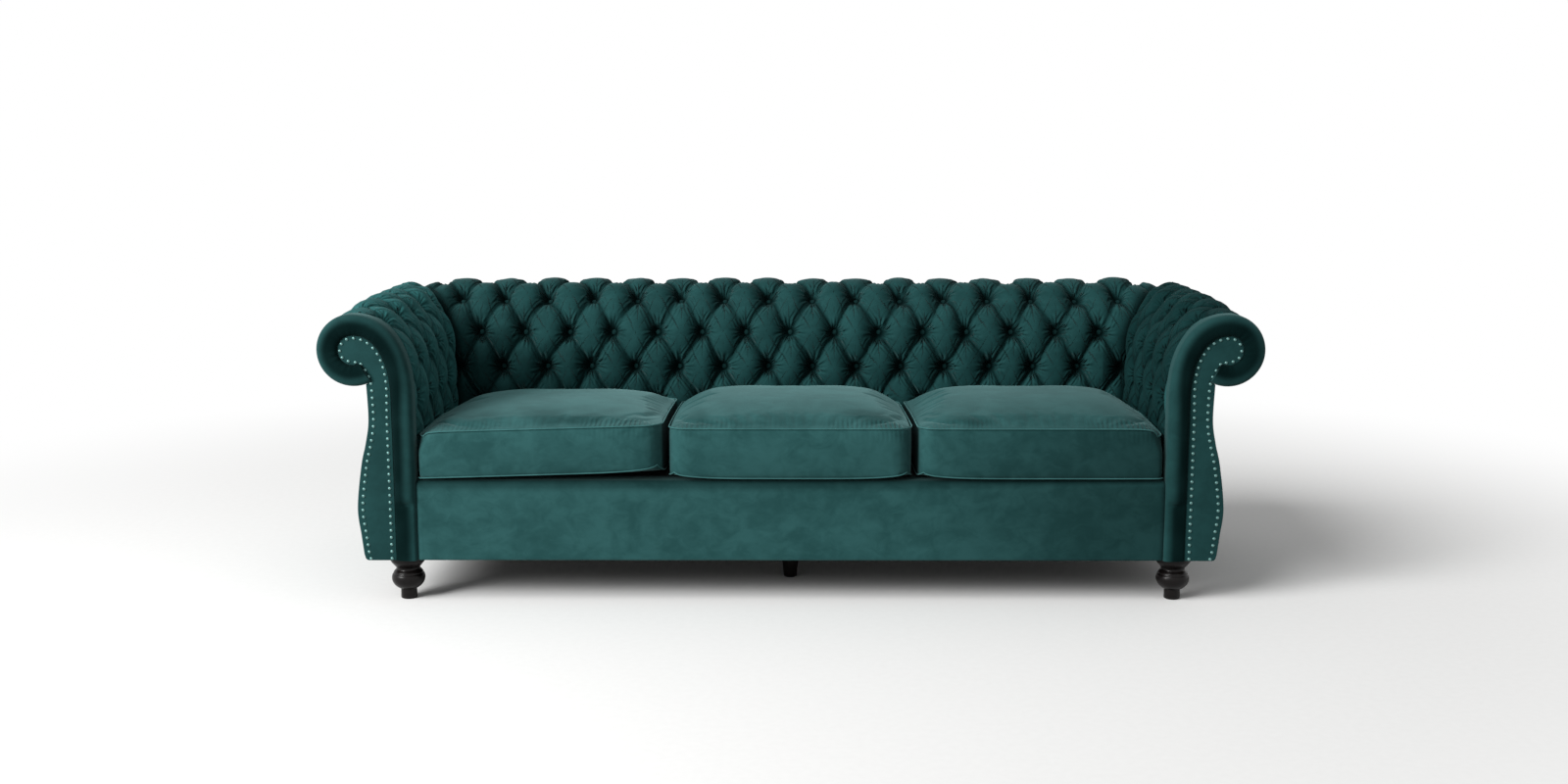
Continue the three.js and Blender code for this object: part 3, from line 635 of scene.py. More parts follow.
# The sofa's own lines
@dataclass(frozen=True)
class RollSection:
    """End view of an arm or the back: out runs from the seat side to the outside, up from the floor."""

    roll_radius: float = 82 * MM
    roll_height: float = 588 * MM
    roll_out: float = 132 * MM
    shoulder_drop: float = 110 * MM
    upright_handle_share: float = 0.635
    top_handle_share: float = 0.606
    tack_angle: float = math.radians(-120)
    neck: float = 104 * MM
    bulge: float = 134 * MM
    floor_edge: float = 101 * MM
    hem_radius: float = 9 * MM
    outer_shares: tuple[tuple[float, float], ...] = (
        (0, 1), (-0.07, 0.8), (0.2, 0.67), (0.6, 0.543), (1, 0.305), (0.8, 0.145), (0.57, 0)
    )
    shoulder_steps: int = 40
    roll_steps: int = 72
    outer_steps: int = 60

    @property
    def shoulder_height(self) -> float:
        """Return the height where the upright ends."""
        return self.roll_height - self.shoulder_drop

    @property
    def neck_top(self) -> float:
        """Return the height of the roll's underside over the neck."""
        return self.roll_height - math.sqrt(self.roll_radius**2 - (self.roll_out - self.neck) ** 2) - FIT

    def roll_line(self, inset: float, bottom: float, upright_steps: int = 1) -> list[Vector]:
        """Draw the line up the seat side, over the shoulder and round the roll.

        Args:
            inset: how far inside the cover's crest line it lies.
            bottom: height where it starts.
            upright_steps: steps of the upright part.

        Returns:
            Its points.
        """
        top = self.roll_height + self.roll_radius - inset
        up_handle = self.upright_handle_share * (top - self.shoulder_height)
        top_handle = self.top_handle_share * (self.roll_out - inset)
        upright = [
            Vector((inset, mix(bottom, self.shoulder_height, step / upright_steps)))
            for step in range(upright_steps)
        ]
        shoulder = interpolate_bezier(
            Vector((inset, self.shoulder_height)),
            Vector((inset, self.shoulder_height + up_handle)),
            Vector((self.roll_out - top_handle, top)),
            Vector((self.roll_out, top)),
            self.shoulder_steps + 1,
        )
        radius = self.roll_radius - inset
        roll = []
        for step in range(1, self.roll_steps + 1):
            angle = mix(math.pi / 2, self.tack_angle, step / self.roll_steps)
            roll.append(
                Vector((
                    self.roll_out + radius * math.cos(angle),
                    self.roll_height + radius * math.sin(angle),
                ))
            )
        return upright + [Vector(point[:2]) for point in shoulder] + roll

    def outer_line(self, inset: float) -> list[Vector]:
        """Draw the line down the outer face, from the neck to the bottom edge.

        Args:
            inset: how far inside the face it lies.

        Returns:
            Its points.
        """
        marks = [
            Vector((mix(self.neck, self.bulge, out), mix(self.floor_edge, self.neck_top, up)))
            for out, up in self.outer_shares
        ]
        marks = [marks[0], *marks, marks[-1]]
        spans = len(marks) - 3
        points = []
        for step in range(self.outer_steps + 1):
            reach = step / self.outer_steps * spans
            k = min(int(reach), spans - 1)
            points.append(through(marks[k : k + 4], reach - k))
        headings = Route(points).headings
        moved = [
            Vector((point.x + inset * heading.y, point.y - inset * heading.x))
            for point, heading in zip(points, headings)
        ]
        hem = self.hem_radius
        end = moved[-1].x
        kept = [point for point in moved if point.y > self.floor_edge + 1.2 * hem]
        for step in range(7):
            angle = math.pi / 2 * step / 6
            kept.append(
                Vector((end - hem + hem * math.cos(angle), self.floor_edge + hem - hem * math.sin(angle)))
            )
        return kept


def through(marks: Sequence[Vector], share: float) -> Vector:
    """Find a point of the smooth curve through four marks.

    Args:
        marks: four points; the curve runs from the second to the third.
        share: how far along that stretch.

    Returns:
        The point.
    """
    before, start, end, after = marks
    leave = (end - before) / 2
    arrive = (after - start) / 2
    cubic = 2 * start - 2 * end + leave + arrive
    square = -3 * start + 3 * end - 2 * leave - arrive
    return ((cubic * share + square) * share + leave) * share + start


@dataclass(frozen=True)
class Layout:
    """Where the sofa's main lines run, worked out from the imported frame."""

    section: RollSection = field(default_factory=RollSection)
    back_reach: float = 256 * MM
    border_width: float = 48 * MM
    facing_thickness: float = 11.7 * MM
    # painted shade: the most that the velvet darkens towards the right end, away from the lamps
    most_falloff_shade: float = 0.52

    @cached_property
    def arm_reach(self) -> float:
        """Return the width of an arm, from its seat side to the outside of its roll."""
        return self.section.roll_out + self.section.roll_radius

    @cached_property
    def arm_inner(self) -> float:
        """Return the X of the arms' seat side."""
        return CAD_HIGH.x - self.arm_reach

    @cached_property
    def back_inner(self) -> float:
        """Return the Y of the back's seat side."""
        return CAD_HIGH.y - self.back_reach

    @cached_property
    def back_stretch(self) -> float:
        """Return how much deeper the back is than an arm is wide."""
        return self.back_reach / self.arm_reach

    @cached_property
    def front_plane(self) -> float:
        """Return the Y of the front of the borders."""
        return CAD_LOW.y

    @cached_property
    def facing_front(self) -> float:
        """Return the Y of the front of the facings and the apron."""
        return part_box("front_apron")[0].y

    @cached_property
    def rail_back(self) -> float:
        """Return the Y where the borders end and the arm covers start."""
        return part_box("right_arm_front_border")[1].y

    @cached_property
    def deck_top(self) -> float:
        """Return the height of the seat platform."""
        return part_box("deck_pad")[1].z

    @cached_property
    def deck_under(self) -> float:
        """Return the height of the platform's underside, where the tufted covers start."""
        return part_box("deck_pad")[0].z

    def painted_falloff_shade(self, point: Vector) -> float:
        """Return the painted shade at a point: the velvet darkens towards the right end, away from the lamps
        at the left.
        """
        return self.most_falloff_shade * ease(0.2 * self.arm_inner, self.arm_inner, point.x)

    def mitre(self, sign: int) -> tuple[Vector, Vector]:
        """Find the plane where an arm meets the back.

        Args:
            sign: 1 for the right corner, -1 for the left one.

        Returns:
            A point of the plane and its normal, which points to the back.
        """
        normal = Vector((-sign * self.back_stretch, 1, 0)).normalized()
        return Vector((sign * self.arm_inner, self.back_inner, 0)), normal


LAYOUT = Layout()


class Side(Enum):
    """The sofa's two ends, as someone facing it sees them."""

    LEFT = -1
    RIGHT = 1

    @property
    def label(self) -> str:
        """Return the word that starts the names of this side's pieces."""
        return self.name.lower()


# Deep buttoning
@dataclass(frozen=True)
class ButtonLattice:
    """The diamond lattice of the buttons, and the loft of the puffs between them."""

    pitch: float = 115 * MM
    row_pitch: float = 88 * MM
    top_row_pitch: float = 60 * MM
    low_row_drop: float = 11 * MM
    rows_over: int = 2
    rows_under: int = 1
    depth: float = 30 * MM
    backing: float = 8 * MM
    top_rise: float = 16 * MM
    crest_softness: float = 0.5  # domes flatten this much where the pad turns over the top
    valley_share: float = 0.5
    corner_sink: float = 76 * MM
    seat_radius: float = 6 * MM  # flat floor of the hollow that holds a button
    hollow_radius: float = 20 * MM
    hollow_share: float = 0.4  # loft left over the floor of a hollow
    ripple: float = 2.2 * MM  # folds that fan out from each button
    ripple_folds: int = 11
    ripple_reach: float = 46 * MM
    stray: float = 9 * MM  # pleats stray this far from straight lines
    stray_size: float = 75 * MM
    unevenness: float = 0.2  # puffs differ this much in loft, as hand-filled ones do
    # Painted shade round the buttons, along the creases and over each puff's flank away from the lamps
    shadow_reach: float = 24 * MM  # painted shade darkens the cover towards a button
    lee_reach: float = 32 * MM  # and this much farther on the side that the puff turns away from the light
    flank_shade: float = 0.7
    crease_reach: float = 9 * MM
    crease_shade: float = 0.7
    cross_crease: float = 0.4  # creases of the other diagonal are this much as dark
    layout: Layout = LAYOUT

    @cached_property
    def low_row(self) -> float:
        """Return how far up the pad the lowest row in view lies."""
        return self.layout.section.shoulder_height - self.low_row_drop - self.layout.deck_under

    @cached_property
    def deck_row(self) -> float:
        """Return how far up the pad it leaves the platform."""
        return self.layout.deck_top + FIT - self.layout.deck_under

    def row_length(self, row: int) -> float:
        """Find how far up the pad a row lies.

        Args:
            row: rows from the lowest one in view.

        Returns:
            The length up the pad.
        """
        over = max(row - self.rows_over, 0)
        return self.low_row + min(row, self.rows_over) * self.row_pitch + over * self.top_row_pitch

    def rows_at(self, length: float) -> float:
        """Count the rows from the lowest one in view up to a length.

        Args:
            length: how far up the pad.

        Returns:
            The count, which needn't be whole.
        """
        over = max(length - self.row_length(self.rows_over), 0.0)
        return (length - over - self.low_row) / self.row_pitch + over / self.top_row_pitch

    def gather(self, across: float, length: float) -> Vector:
        """Measure from a place of the pad to the nearest button and the nearest pleat.

        Args:
            across: places along a row, in button pitches.
            length: how far up the pad.

        Returns:
            The offset to the button in X and Y, and to the pleat in Z.
        """
        low, high = self.row_length(-self.rows_under), self.row_length(self.rows_over + 1)
        if not low < length < high:
            step = self.pitch * (across - 0.5 - round(across - 0.5))
            return Vector((step, length - min(max(length, low), high), step))
        rows = self.rows_at(length)
        first, second = across + rows / 2, across - rows / 2
        step_first, step_second = first - round(first), second - round(second)
        spacing = 1 / math.hypot(1 / self.pitch, 1 / (2 * self.row_pitch))
        nearest = min((step_first, step_second), key=abs)
        return Vector(
            (
                self.pitch * (step_first + step_second) / 2,
                self.row_pitch * (step_first - step_second),
                spacing * nearest,
            )
        )

    def falls_right(self, across: float, length: float) -> bool:
        """Tell whether the nearest pleat falls to the right, seen from the front of the pad."""
        rows = self.rows_at(length)
        first, second = across + rows / 2, across - rows / 2
        return abs(first - round(first)) < abs(second - round(second))

    def flank(self, across: float, length: float) -> float:
        """Return the place across a puff, from -0.5 at its left button to 0.5 at its right one."""
        rows = self.rows_at(length)
        first, second = across + rows / 2, across - rows / 2
        return (first - math.floor(first) + second - math.floor(second)) / 2 - 0.5

    def loft_share(self, across: float, length: float, pad_length: float) -> float:
        """Find the loft of the cover, 0 at a button and 1 at a crest.

        Args:
            across: places along a row, in button pitches.
            length: how far up the pad.
            pad_length: the whole length of the pad.

        Returns:
            The share of the full loft.
        """
        rows = self.rows_at(length)
        pleat = abs(math.cos(math.pi * across))
        rear_row = self.row_length(self.rows_over + 1)
        bottom_row = self.row_length(-self.rows_under)
        if length > rear_row:
            return mix(pleat, 1.0, (length - rear_row) / (pad_length - rear_row))
        if length <= self.deck_row:
            return 0.0
        if length < bottom_row:
            return (bottom_row - length) / (bottom_row - self.deck_row) * (1 - pleat) + pleat
        first, second = across + rows / 2, across - rows / 2
        left = abs(math.sin(math.pi * first))
        right = abs(math.sin(math.pi * second))
        dome = math.sqrt(left * right)
        cell = Vector((math.floor(first) + 0.5, math.floor(second) + 0.5, 0.0))
        lively = 1 + self.unevenness * noise.noise(cell * 1.7) * dome
        return (dome + self.valley_share * max(left, right) * (1 - dome)) * lively


@dataclass
class ButtonedCover:
    """The deep-buttoned pad on an arm or on the back, with its covered buttons."""

    name: str
    span: tuple[float, float]
    button_place: float
    place: Callable[[Vector, float], Vector]
    to_corner: Callable[[float, float], float]
    cuts: Sequence[tuple[Vector, Vector]]
    front_border: float | None = None
    border_fill_share: float = 0.9
    border_fill_reach: float = 42 * MM
    layout: Layout = LAYOUT
    lattice: ButtonLattice = field(default_factory=ButtonLattice)
    steps_in_cell: int = 20  # faces between rows of buttons, so that pleats fall on corners of faces
    plain_step: float = 8 * MM
    inner_step: float = 42 * MM
    button_radius: float = 7.2 * MM
    button_lift: float = 0.5 * MM
    # painted shade that dims the buttons
    button_shade: float = 0.4
    button_sides: int = 12
    least_to_corner: float = 26 * MM
    least_to_border: float = 18 * MM
    corner_shade_reach: float = 45 * MM
    lee_side: int = 1
    least_shade: float = 0.06  # painted shade over the whole cover, set high to paint the right arm dark
    velvet: CottonVelvet = SHADED_BUTTONED_VELVET
    rise_reach: float = 260 * MM  # from the front border to where the crest has its full rise
    fill: float = 0.85

    def __post_init__(self) -> None:
        """Draw the two lines of the section once."""
        section, lattice = self.layout.section, self.lattice
        self.outer = Route(section.roll_line(lattice.depth, self.layout.deck_under))
        self.inner = Route(section.roll_line(lattice.depth + lattice.backing, self.layout.deck_under))

    def row_lengths(self) -> list[float]:
        """List how far up the pad each row of the mesh lies."""
        lattice = self.lattice
        rows = [lattice.row_length(row) for row in range(-lattice.rows_under, lattice.rows_over + 2)]
        marks = [0.0, lattice.deck_row, *rows, self.outer.length]
        lengths = [0.0]
        for start, end in zip(marks, marks[1:]):
            buttoned = start in rows and end in rows
            steps = self.steps_in_cell if buttoned else math.ceil((end - start) / self.plain_step)
            lengths += [mix(start, end, (step + 1) / steps) for step in range(steps)]
        return lengths

    def surface(self, base: Vector, along: float, length: float) -> tuple[float, float, Vector]:
        """Find how the cover lies over a place of the button line.

        Args:
            base: the point of the button line, in the section.
            along: place along the pad.
            length: how far up the pad.

        Returns:
            Its height, its painted shade from 0 to 1, and the offsets to the nearest button and pleat.
        """
        lattice, section = self.lattice, self.layout.section
        across = (along - self.button_place) / lattice.pitch
        near_button = lattice.gather(across, length)
        free = ease(lattice.seat_radius, lattice.hollow_radius, math.hypot(near_button.x, near_button.y))
        stray = Vector((along, length, self.lee_side))
        across += free * lattice.stray * ripple_noise(stray, lattice.stray_size, 4.0) / lattice.pitch
        length += free * lattice.stray * ripple_noise(stray, lattice.stray_size, 6.0)
        offsets = lattice.gather(across, length)
        share = lattice.loft_share(across, length, self.outer.length)
        top = section.roll_height + section.roll_radius
        crest = ease(section.roll_height + lattice.depth, top - lattice.depth, base.y)
        over_start = lattice.row_length(lattice.rows_over) + 6 * MM
        over = ease(over_start, lattice.row_length(lattice.rows_over + 1), length)
        share = mix(share, 1.0, lattice.crest_softness * over)
        to_corner = max(self.to_corner(base.x, along), 0.0)
        sink = math.sqrt(min(to_corner / lattice.corner_sink, 1.0))
        share *= sink
        behind = length - lattice.row_length(lattice.rows_over + 1)
        calm = ease(0.0, lattice.ripple_reach, behind)
        radius = math.hypot(offsets.x, offsets.y)
        hollow = mix(lattice.hollow_share, 1.0, ease(lattice.seat_radius, lattice.hollow_radius, radius))
        # Painted shade: dark round each button and farther on the side away from the lamps, along the creases,
        # over the flank of each puff, and in the corner valleys.
        lee = max(-self.lee_side * offsets.x, 0.0) / max(radius, WELD)
        lively = 1 + 0.35 * noise.noise(Vector((along, length, 0.0)) / (60 * MM))
        pit = 1 - ease(lattice.seat_radius, (lattice.shadow_reach + lattice.lee_reach * lee) * lively, radius)
        crease = lattice.crease_shade * (1 - ease(0.0, lattice.crease_reach, abs(offsets.z)))
        crease *= 1 - 0.6 * calm
        crease *= lively * (1.0 if lattice.falls_right(across, length) else lattice.cross_crease)
        flank = self.lee_side * lattice.flank(across, length)
        lee_flank = lattice.flank_shade * ease(-0.02, 0.36, flank) * lively * (1 - calm)
        shade = max(pit, crease, min(lee_flank, 1.0), 1 - ease(0.0, self.corner_shade_reach, to_corner))
        shade = mix(self.least_shade, 1.0, shade)
        if self.front_border is not None:
            crest *= ease(0.0, self.rise_reach, along - self.front_border)
            near = 1 - ease(0.0, self.border_fill_reach, along - self.front_border)
            if length > lattice.backing:
                share = max(share, self.border_fill_share * near)
            shade *= 1 - near
        angle = math.atan2(offsets.y, offsets.x)
        window = ease(0.25 * lattice.ripple_reach, 0.5 * lattice.ripple_reach, radius)
        window *= 1 - ease(0.5 * lattice.ripple_reach, lattice.ripple_reach, radius)
        fan = lattice.ripple * math.cos(lattice.ripple_folds * angle + 9 * round(across)) * window
        height = share * hollow * (lattice.depth + lattice.top_rise * crest) + fan * sink * (1 - calm)
        return max(height, 0.0), shade, offsets

    def build(self, replaced: Sequence[str]) -> Object:
        """Form the pad and set its buttons.

        Args:
            replaced: the nodes that the pad stands for.

        Returns:
            The pad's object.
        """
        step = self.lattice.pitch / (2 * self.steps_in_cell)
        first = self.button_place + math.floor((self.span[0] - self.button_place) / step) * step
        columns = math.ceil((self.span[1] - first) / step)
        lengths = self.row_lengths()
        inner_rows = round(self.inner.length / self.inner_step)
        outside = [(length, *self.outer.at(length)) for length in lengths]
        inside = [
            (None, *self.inner.at(self.inner.length * (1 - row / inner_rows)))
            for row in range(inner_rows + 1)
        ]
        sections = [*outside, *inside, outside[0]]
        rows = len(sections) - 1
        shaped = bmesh.new()
        bmesh.ops.create_grid(shaped, x_segments=columns, y_segments=rows, size=0.5)
        gather = shaped.verts.layers.float_vector.new(GATHER_LAYER)
        shades = shaped.verts.layers.float.new(SHADE_LAYER)
        for vertex in shaped.verts:
            along = first + step * round((vertex.co.x + 0.5) * columns)
            length, base, heading = sections[round((vertex.co.y + 0.5) * rows)]
            if length is None:
                vertex.co = self.place(base, along)
                continue
            height, vertex[shades], vertex[gather] = self.surface(base, along, length)
            vertex.co = self.place(base + Vector((-heading.y, heading.x)) * height, along)
        for point, normal in self.cuts:
            cut_off(shaped, point, normal)
        pad = dressed(self.name, closed(shaped), self.velvet, replaced=replaced)
        self.buttons()
        return pad

    def buttons(self) -> Object:
        """Set a covered button at each point of the lattice that lies clear of the corners.

        Returns:
            One object of all the buttons.
        """
        lattice, radius = self.lattice, self.button_radius
        profile = [
            (0.0, -0.3 * radius), (0.75 * radius, -0.3 * radius), (radius, 0.0),
            (0.93 * radius, 0.25 * radius),
            (0.7 * radius, 0.48 * radius), (0.36 * radius, 0.6 * radius), (0.0, 0.64 * radius),
        ]
        places = []
        for row in range(-lattice.rows_under, lattice.rows_over + 2):
            length = lattice.row_length(row)
            base, heading = self.outer.at(length)
            normal = Vector((-heading.y, heading.x))
            offset = 0.5 if row % 2 else 0.0
            first = math.ceil((self.span[0] - self.button_place) / lattice.pitch - offset)
            last = math.floor((self.span[1] - self.button_place) / lattice.pitch - offset)
            for column in range(first, last + 1):
                along = self.button_place + (column + offset) * lattice.pitch
                if self.to_corner(base.x, along) < self.least_to_corner:
                    continue
                if self.front_border is not None and along - self.front_border < self.least_to_border:
                    continue
                seat = self.place(base + normal * self.button_lift, along)
                outward = self.place(base + normal, along) - self.place(base, along)
                turn = outward.to_track_quat("Z", "Y").to_matrix().to_4x4()
                places.append(Matrix.Translation(seat) @ turn)
        domes = copied_to(turned(profile, self.button_sides), places)
        # painted shade that dims the buttons, which stand out into the light
        shades = domes.verts.layers.float.new(SHADE_LAYER)
        for vertex in domes.verts:
            vertex[shades] = self.button_shade
        return dressed(self.name.replace("cover", "buttons"), domes, SHADED_FRAME_VELVET)


def back_cover(layout: Layout = LAYOUT) -> ButtonedCover:
    """Lay out the buttoned cover of the back, between the two mitred corners."""
    lattice = ButtonLattice()
    half = CAD_HIGH.x

    def place(section: Vector, along: float) -> Vector:
        """Put a point of the section at a place along the back."""
        return Vector((along, layout.back_inner + layout.back_stretch * section.x, section.y))

    cuts = [(point, -normal) for point, normal in (layout.mitre(1), layout.mitre(-1))]
    return ButtonedCover(
        name="back_tufted_cover_dressed",
        span=(-half, half),
        button_place=lattice.pitch / 2,
        place=place,
        to_corner=lambda out, along: layout.arm_inner + out - abs(along),
        cuts=cuts,
    )


def arm_cover(side: Side, layout: Layout = LAYOUT) -> ButtonedCover:
    """Lay out the buttoned cover of an arm, from its front border to the mitred corner."""
    armed_back = 117.5 * MM  # a button column, from the seat side of the back

    def place(section: Vector, along: float) -> Vector:
        """Put a point of the section at a place along the arm."""
        return Vector((side.value * (layout.arm_inner + section.x), along, section.y))

    front = layout.rail_back + FIT
    return ButtonedCover(
        name=side.label + "_arm_tufted_cover_dressed",
        span=(front, CAD_HIGH.y),
        button_place=layout.back_inner - armed_back,
        place=place,
        to_corner=lambda out, along: layout.back_inner + layout.back_stretch * out - along,
        cuts=[layout.mitre(side.value), (Vector((0, front, 0)), Vector((0, -1, 0)))],
        front_border=front,
        # painted shade: the right arm's cover is painted dark all over, the left one not at all
        least_shade=0.76 if side is Side.RIGHT else 0.0,
        velvet=LIGHTENED_ARM_VELVET,
    )


# Arm fronts
@dataclass
class ArmFront:
    """The padded border round the front of an arm, the flat facing inside it and its row of nails."""

    side: Side
    layout: Layout = LAYOUT
    cover_thickness: float = 8 * MM
    border_core: float = 38 * MM
    fold_height: float = 232 * MM  # the padding ends here, over the rail
    fold_drop: float = 5 * MM
    fold_reach: float = 16 * MM
    gather: float = 0.9 * MM
    gather_pitch: float = 11 * MM
    mesh_step: float = 3 * MM
    border_rows: int = 34
    nail_pitch: float = 16.5 * MM
    nail_radius: float = 4.0 * MM
    nail_height: float = 2.6 * MM
    nail_sides: int = 12
    nail_line: float = 54 * MM  # inside the cover's crest line
    nail_upright_shift: float = 5 * MM
    nail_outer_line: float = 12.5 * MM

    def at(self, out: float, y: float, up: float) -> Vector:
        """Put a point of the section at its place on this arm."""
        return Vector((self.side.value * (self.layout.arm_inner + out), y, up))

    def border(self) -> Object:
        """Form the padded border: a rounded band that follows the arm's line, thinner under the fold.

        Returns:
            The border's object.
        """
        layout, section = self.layout, self.layout.section
        front, facing, rear = layout.front_plane, layout.facing_front, layout.rail_back
        width = layout.border_width
        crown = 0.42 * width
        rim = [
            Vector((0.0, mix(front, rear, 0.5))), Vector((0.0, mix(front, rear, 0.16))),
            Vector((0.3 * crown, front)), Vector((crown, front)),
        ]
        lip_y = facing + 2 * MM
        lip = [
            Vector((crown, front)), Vector((0.78 * width, front)),
            Vector((width, mix(front, lip_y, 0.35))), Vector((width, lip_y)),
        ]
        curve = interpolate_bezier(*rim, 15) + interpolate_bezier(*lip, 13)[1:]
        foot = facing + layout.facing_thickness
        loop = [Vector((0.0, rear)), *[Vector(point[:2]) for point in curve], Vector((width, foot))]
        loop += [Vector((self.border_core, foot)), Vector((self.border_core, rear)), Vector((0.0, rear))]
        upright_steps = round((section.shoulder_height - section.floor_edge) / (2 * self.mesh_step))
        lines = [section.roll_line(inset, section.floor_edge, upright_steps) for inset, _ in loop]
        middle = Route(section.roll_line(width, section.floor_edge, upright_steps))
        columns = len(lines[0]) - 1

        def point_at(column_share: float, row_share: float) -> Vector:
            """Place a point of the border."""
            column = round(column_share * columns)
            row = round(row_share * (len(loop) - 1))
            inset, y = loop[row]
            point = lines[row][column]
            swell = ease(facing, front, y) * ease(0.0, 0.5 * width, inset + 0.2 * width)
            below = 1 - ease(self.fold_height - 2 * MM, self.fold_height + self.fold_reach, point.y)
            pinch = math.exp(-(((point.y - self.fold_height) / (2.5 * MM)) ** 2))
            y += swell * (below * self.fold_drop + 2.2 * MM * pinch)
            around = ease(section.shoulder_height, section.roll_height, point.y)
            inner = ease(0.35 * width, width, inset)
            travel = middle.reached[column] / self.gather_pitch
            uneven = 0.6 + 0.4 * math.sin(travel * 1.9)
            y += self.gather * around * inner * uneven * math.cos(math.tau * travel) * ease(rear, facing, y)
            return self.at(point.x, y, point.y)

        shaped = bmesh.new()
        bmesh.ops.create_grid(shaped, x_segments=columns, y_segments=len(loop) - 1, size=0.5)
        shades = shaped.verts.layers.float.new(SHADE_LAYER)
        soften = 0.7 * MM
        for vertex in shaped.verts:
            row_share = vertex.co.y + 0.5
            inset, _ = loop[round(row_share * (len(loop) - 1))]
            vertex.co = point_at(vertex.co.x + 0.5, row_share)
            if vertex.co.y < facing:
                vertex.co.y += soften * ripple_noise(vertex.co, 70 * MM, 3.0)
            # Painted shade: the band darkens to nearly black towards the nails, over more of its width round
            # the scroll and at the fold.
            low = 1 - ease(self.fold_height - 2 * MM, self.fold_height + 3 * MM, vertex.co.z)
            around = ease(section.shoulder_height - 40 * MM, section.roll_height, vertex.co.z)
            start = mix(0.26, 0.08, max(low, around)) * width
            groove = ease(start, mix(0.7, 0.5, max(low, around)) * width, inset)
            patch = 0.9 + 0.1 * ripple_noise(vertex.co, 50 * MM, 8.0)
            vertex[shades] = 0.97 * groove * patch
        label = self.side.label + "_arm_front_border"
        border = dressed_node(label, closed(shaped), SHADED_FRAME_VELVET)
        return border

    def outline(self, inset: float, outer_inset: float) -> list[Vector]:
        """Draw the outline of the facing.

        Args:
            inset: how far inside the arm's crest line it lies.
            outer_inset: how far inside the outer face.

        Returns:
            Its points, up the seat side, round the scroll and down the outer face.
        """
        section = self.layout.section
        ends = []
        for depth in (inset, 0.0):
            radius = section.roll_radius - depth
            ends.append(
                Vector(
                    (
                        section.roll_out + radius * math.cos(section.tack_angle)
                        + FIT * math.sin(section.tack_angle),
                        section.roll_height + radius * math.sin(section.tack_angle)
                        - FIT * math.cos(section.tack_angle),
                    )
                )
            )
        roll = section.roll_line(inset, section.floor_edge, 12)[:-1]
        return [*roll, *ends, *section.outer_line(outer_inset)]

    def facing(self) -> Object:
        """Form the facing: a velvet panel with softened edges, wrapped over its board.

        Returns:
            The facing's object.
        """
        layout = self.layout
        outline = self.outline(layout.border_width + FIT, 0.0)
        shaped = bmesh.new()
        front = [shaped.verts.new(self.at(point.x, layout.facing_front, point.y)) for point in outline]
        panel = shaped.faces.new(front)
        sunk = bmesh.ops.extrude_face_region(shaped, geom=[panel])["geom"]
        moved = [part for part in sunk if isinstance(part, BMVert)]
        bmesh.ops.translate(shaped, verts=moved, vec=(0, layout.facing_thickness, 0))
        closed(shaped)
        rim = [edge for edge in shaped.edges if all(v.co.y < layout.facing_front + WELD for v in edge.verts)]
        bmesh.ops.bevel(
            shaped, geom=rim, offset=3.2 * MM, affect="EDGES", segments=4, profile=0.5, material=-1,
            clamp_overlap=True,
        )
        label = self.side.label + "_arm_facing_panel"
        return dressed_node(label, shaped, SHADED_FRAME_VELVET)

    def nail_route(self) -> Route:
        """Draw the line that the nails follow, round the facing inside its edge."""
        section = self.layout.section
        start = section.floor_edge + 5 * MM
        line = []
        for point in section.roll_line(self.nail_line, start, 12):
            above_leg = ease(section.shoulder_height - 60 * MM, section.roll_height, point.y)
            shift = self.nail_upright_shift * (1 - above_leg)
            line.append(Vector((point.x + shift, point.y)))
        leave = math.radians(-52)
        centre = Vector((section.roll_out, section.roll_height))
        head = [p for p in line if p.x < centre.x or math.atan2(p.y - centre.y, p.x - centre.x) > leave]
        outer = [p for p in section.outer_line(self.nail_outer_line) if p.y > section.floor_edge + 4 * MM]
        bend = Vector((section.neck - 14 * MM, section.neck_top + 14 * MM))
        head_end = head[-1]
        neck = interpolate_bezier(
            head_end, head_end.lerp(bend, 0.6), outer[2].lerp(bend, 0.9), outer[3], 12
        )
        return Route([*head, *[Vector(p[:2]) for p in neck[1:]], *outer[4:]])

    def nails(self) -> Object:
        """Drive the domed nails at an even pitch.

        Returns:
            One object of all the nails.
        """
        route = self.nail_route()
        count = round(route.length / self.nail_pitch)
        radius, height = self.nail_radius, self.nail_height
        steps = 4
        dome = [
            (radius * math.cos(math.pi / 2 * k / steps), height * math.sin(math.pi / 2 * k / steps))
            for k in range(steps + 1)
        ]
        profile = [(0.0, -1 * MM), (0.9 * radius, -1 * MM), *dome[:-1], (0.0, height)]
        facing_out = Matrix.Rotation(math.pi / 2, 4, "X")
        places = []
        for nail in range(count + 1):
            point, _ = route.at(route.length * nail / count)
            places.append(
                Matrix.Translation(self.at(point.x, self.layout.facing_front, point.y)) @ facing_out
            )
        heads = copied_to(turned(profile, self.nail_sides), places)
        return dressed(self.side.label + "_arm_nails", heads, NICKEL_WITH_PAINTED_REFLECTION)

    def outer_cover(self) -> Object:
        """Form the cover of the arm's outer face, with the rounded edge that wraps the facing.

        Returns:
            The cover's object.
        """
        layout, section = self.layout, self.layout.section
        outside = section.outer_line(0.0)
        inside = section.outer_line(self.cover_thickness)
        front = layout.facing_front + layout.facing_thickness + FIT
        rear = CAD_HIGH.y
        loop = [*outside, *reversed(inside), outside[0]]
        columns = 90
        slack = 1.2 * MM
        rows = len(loop) - 1
        wrap = 3 * MM

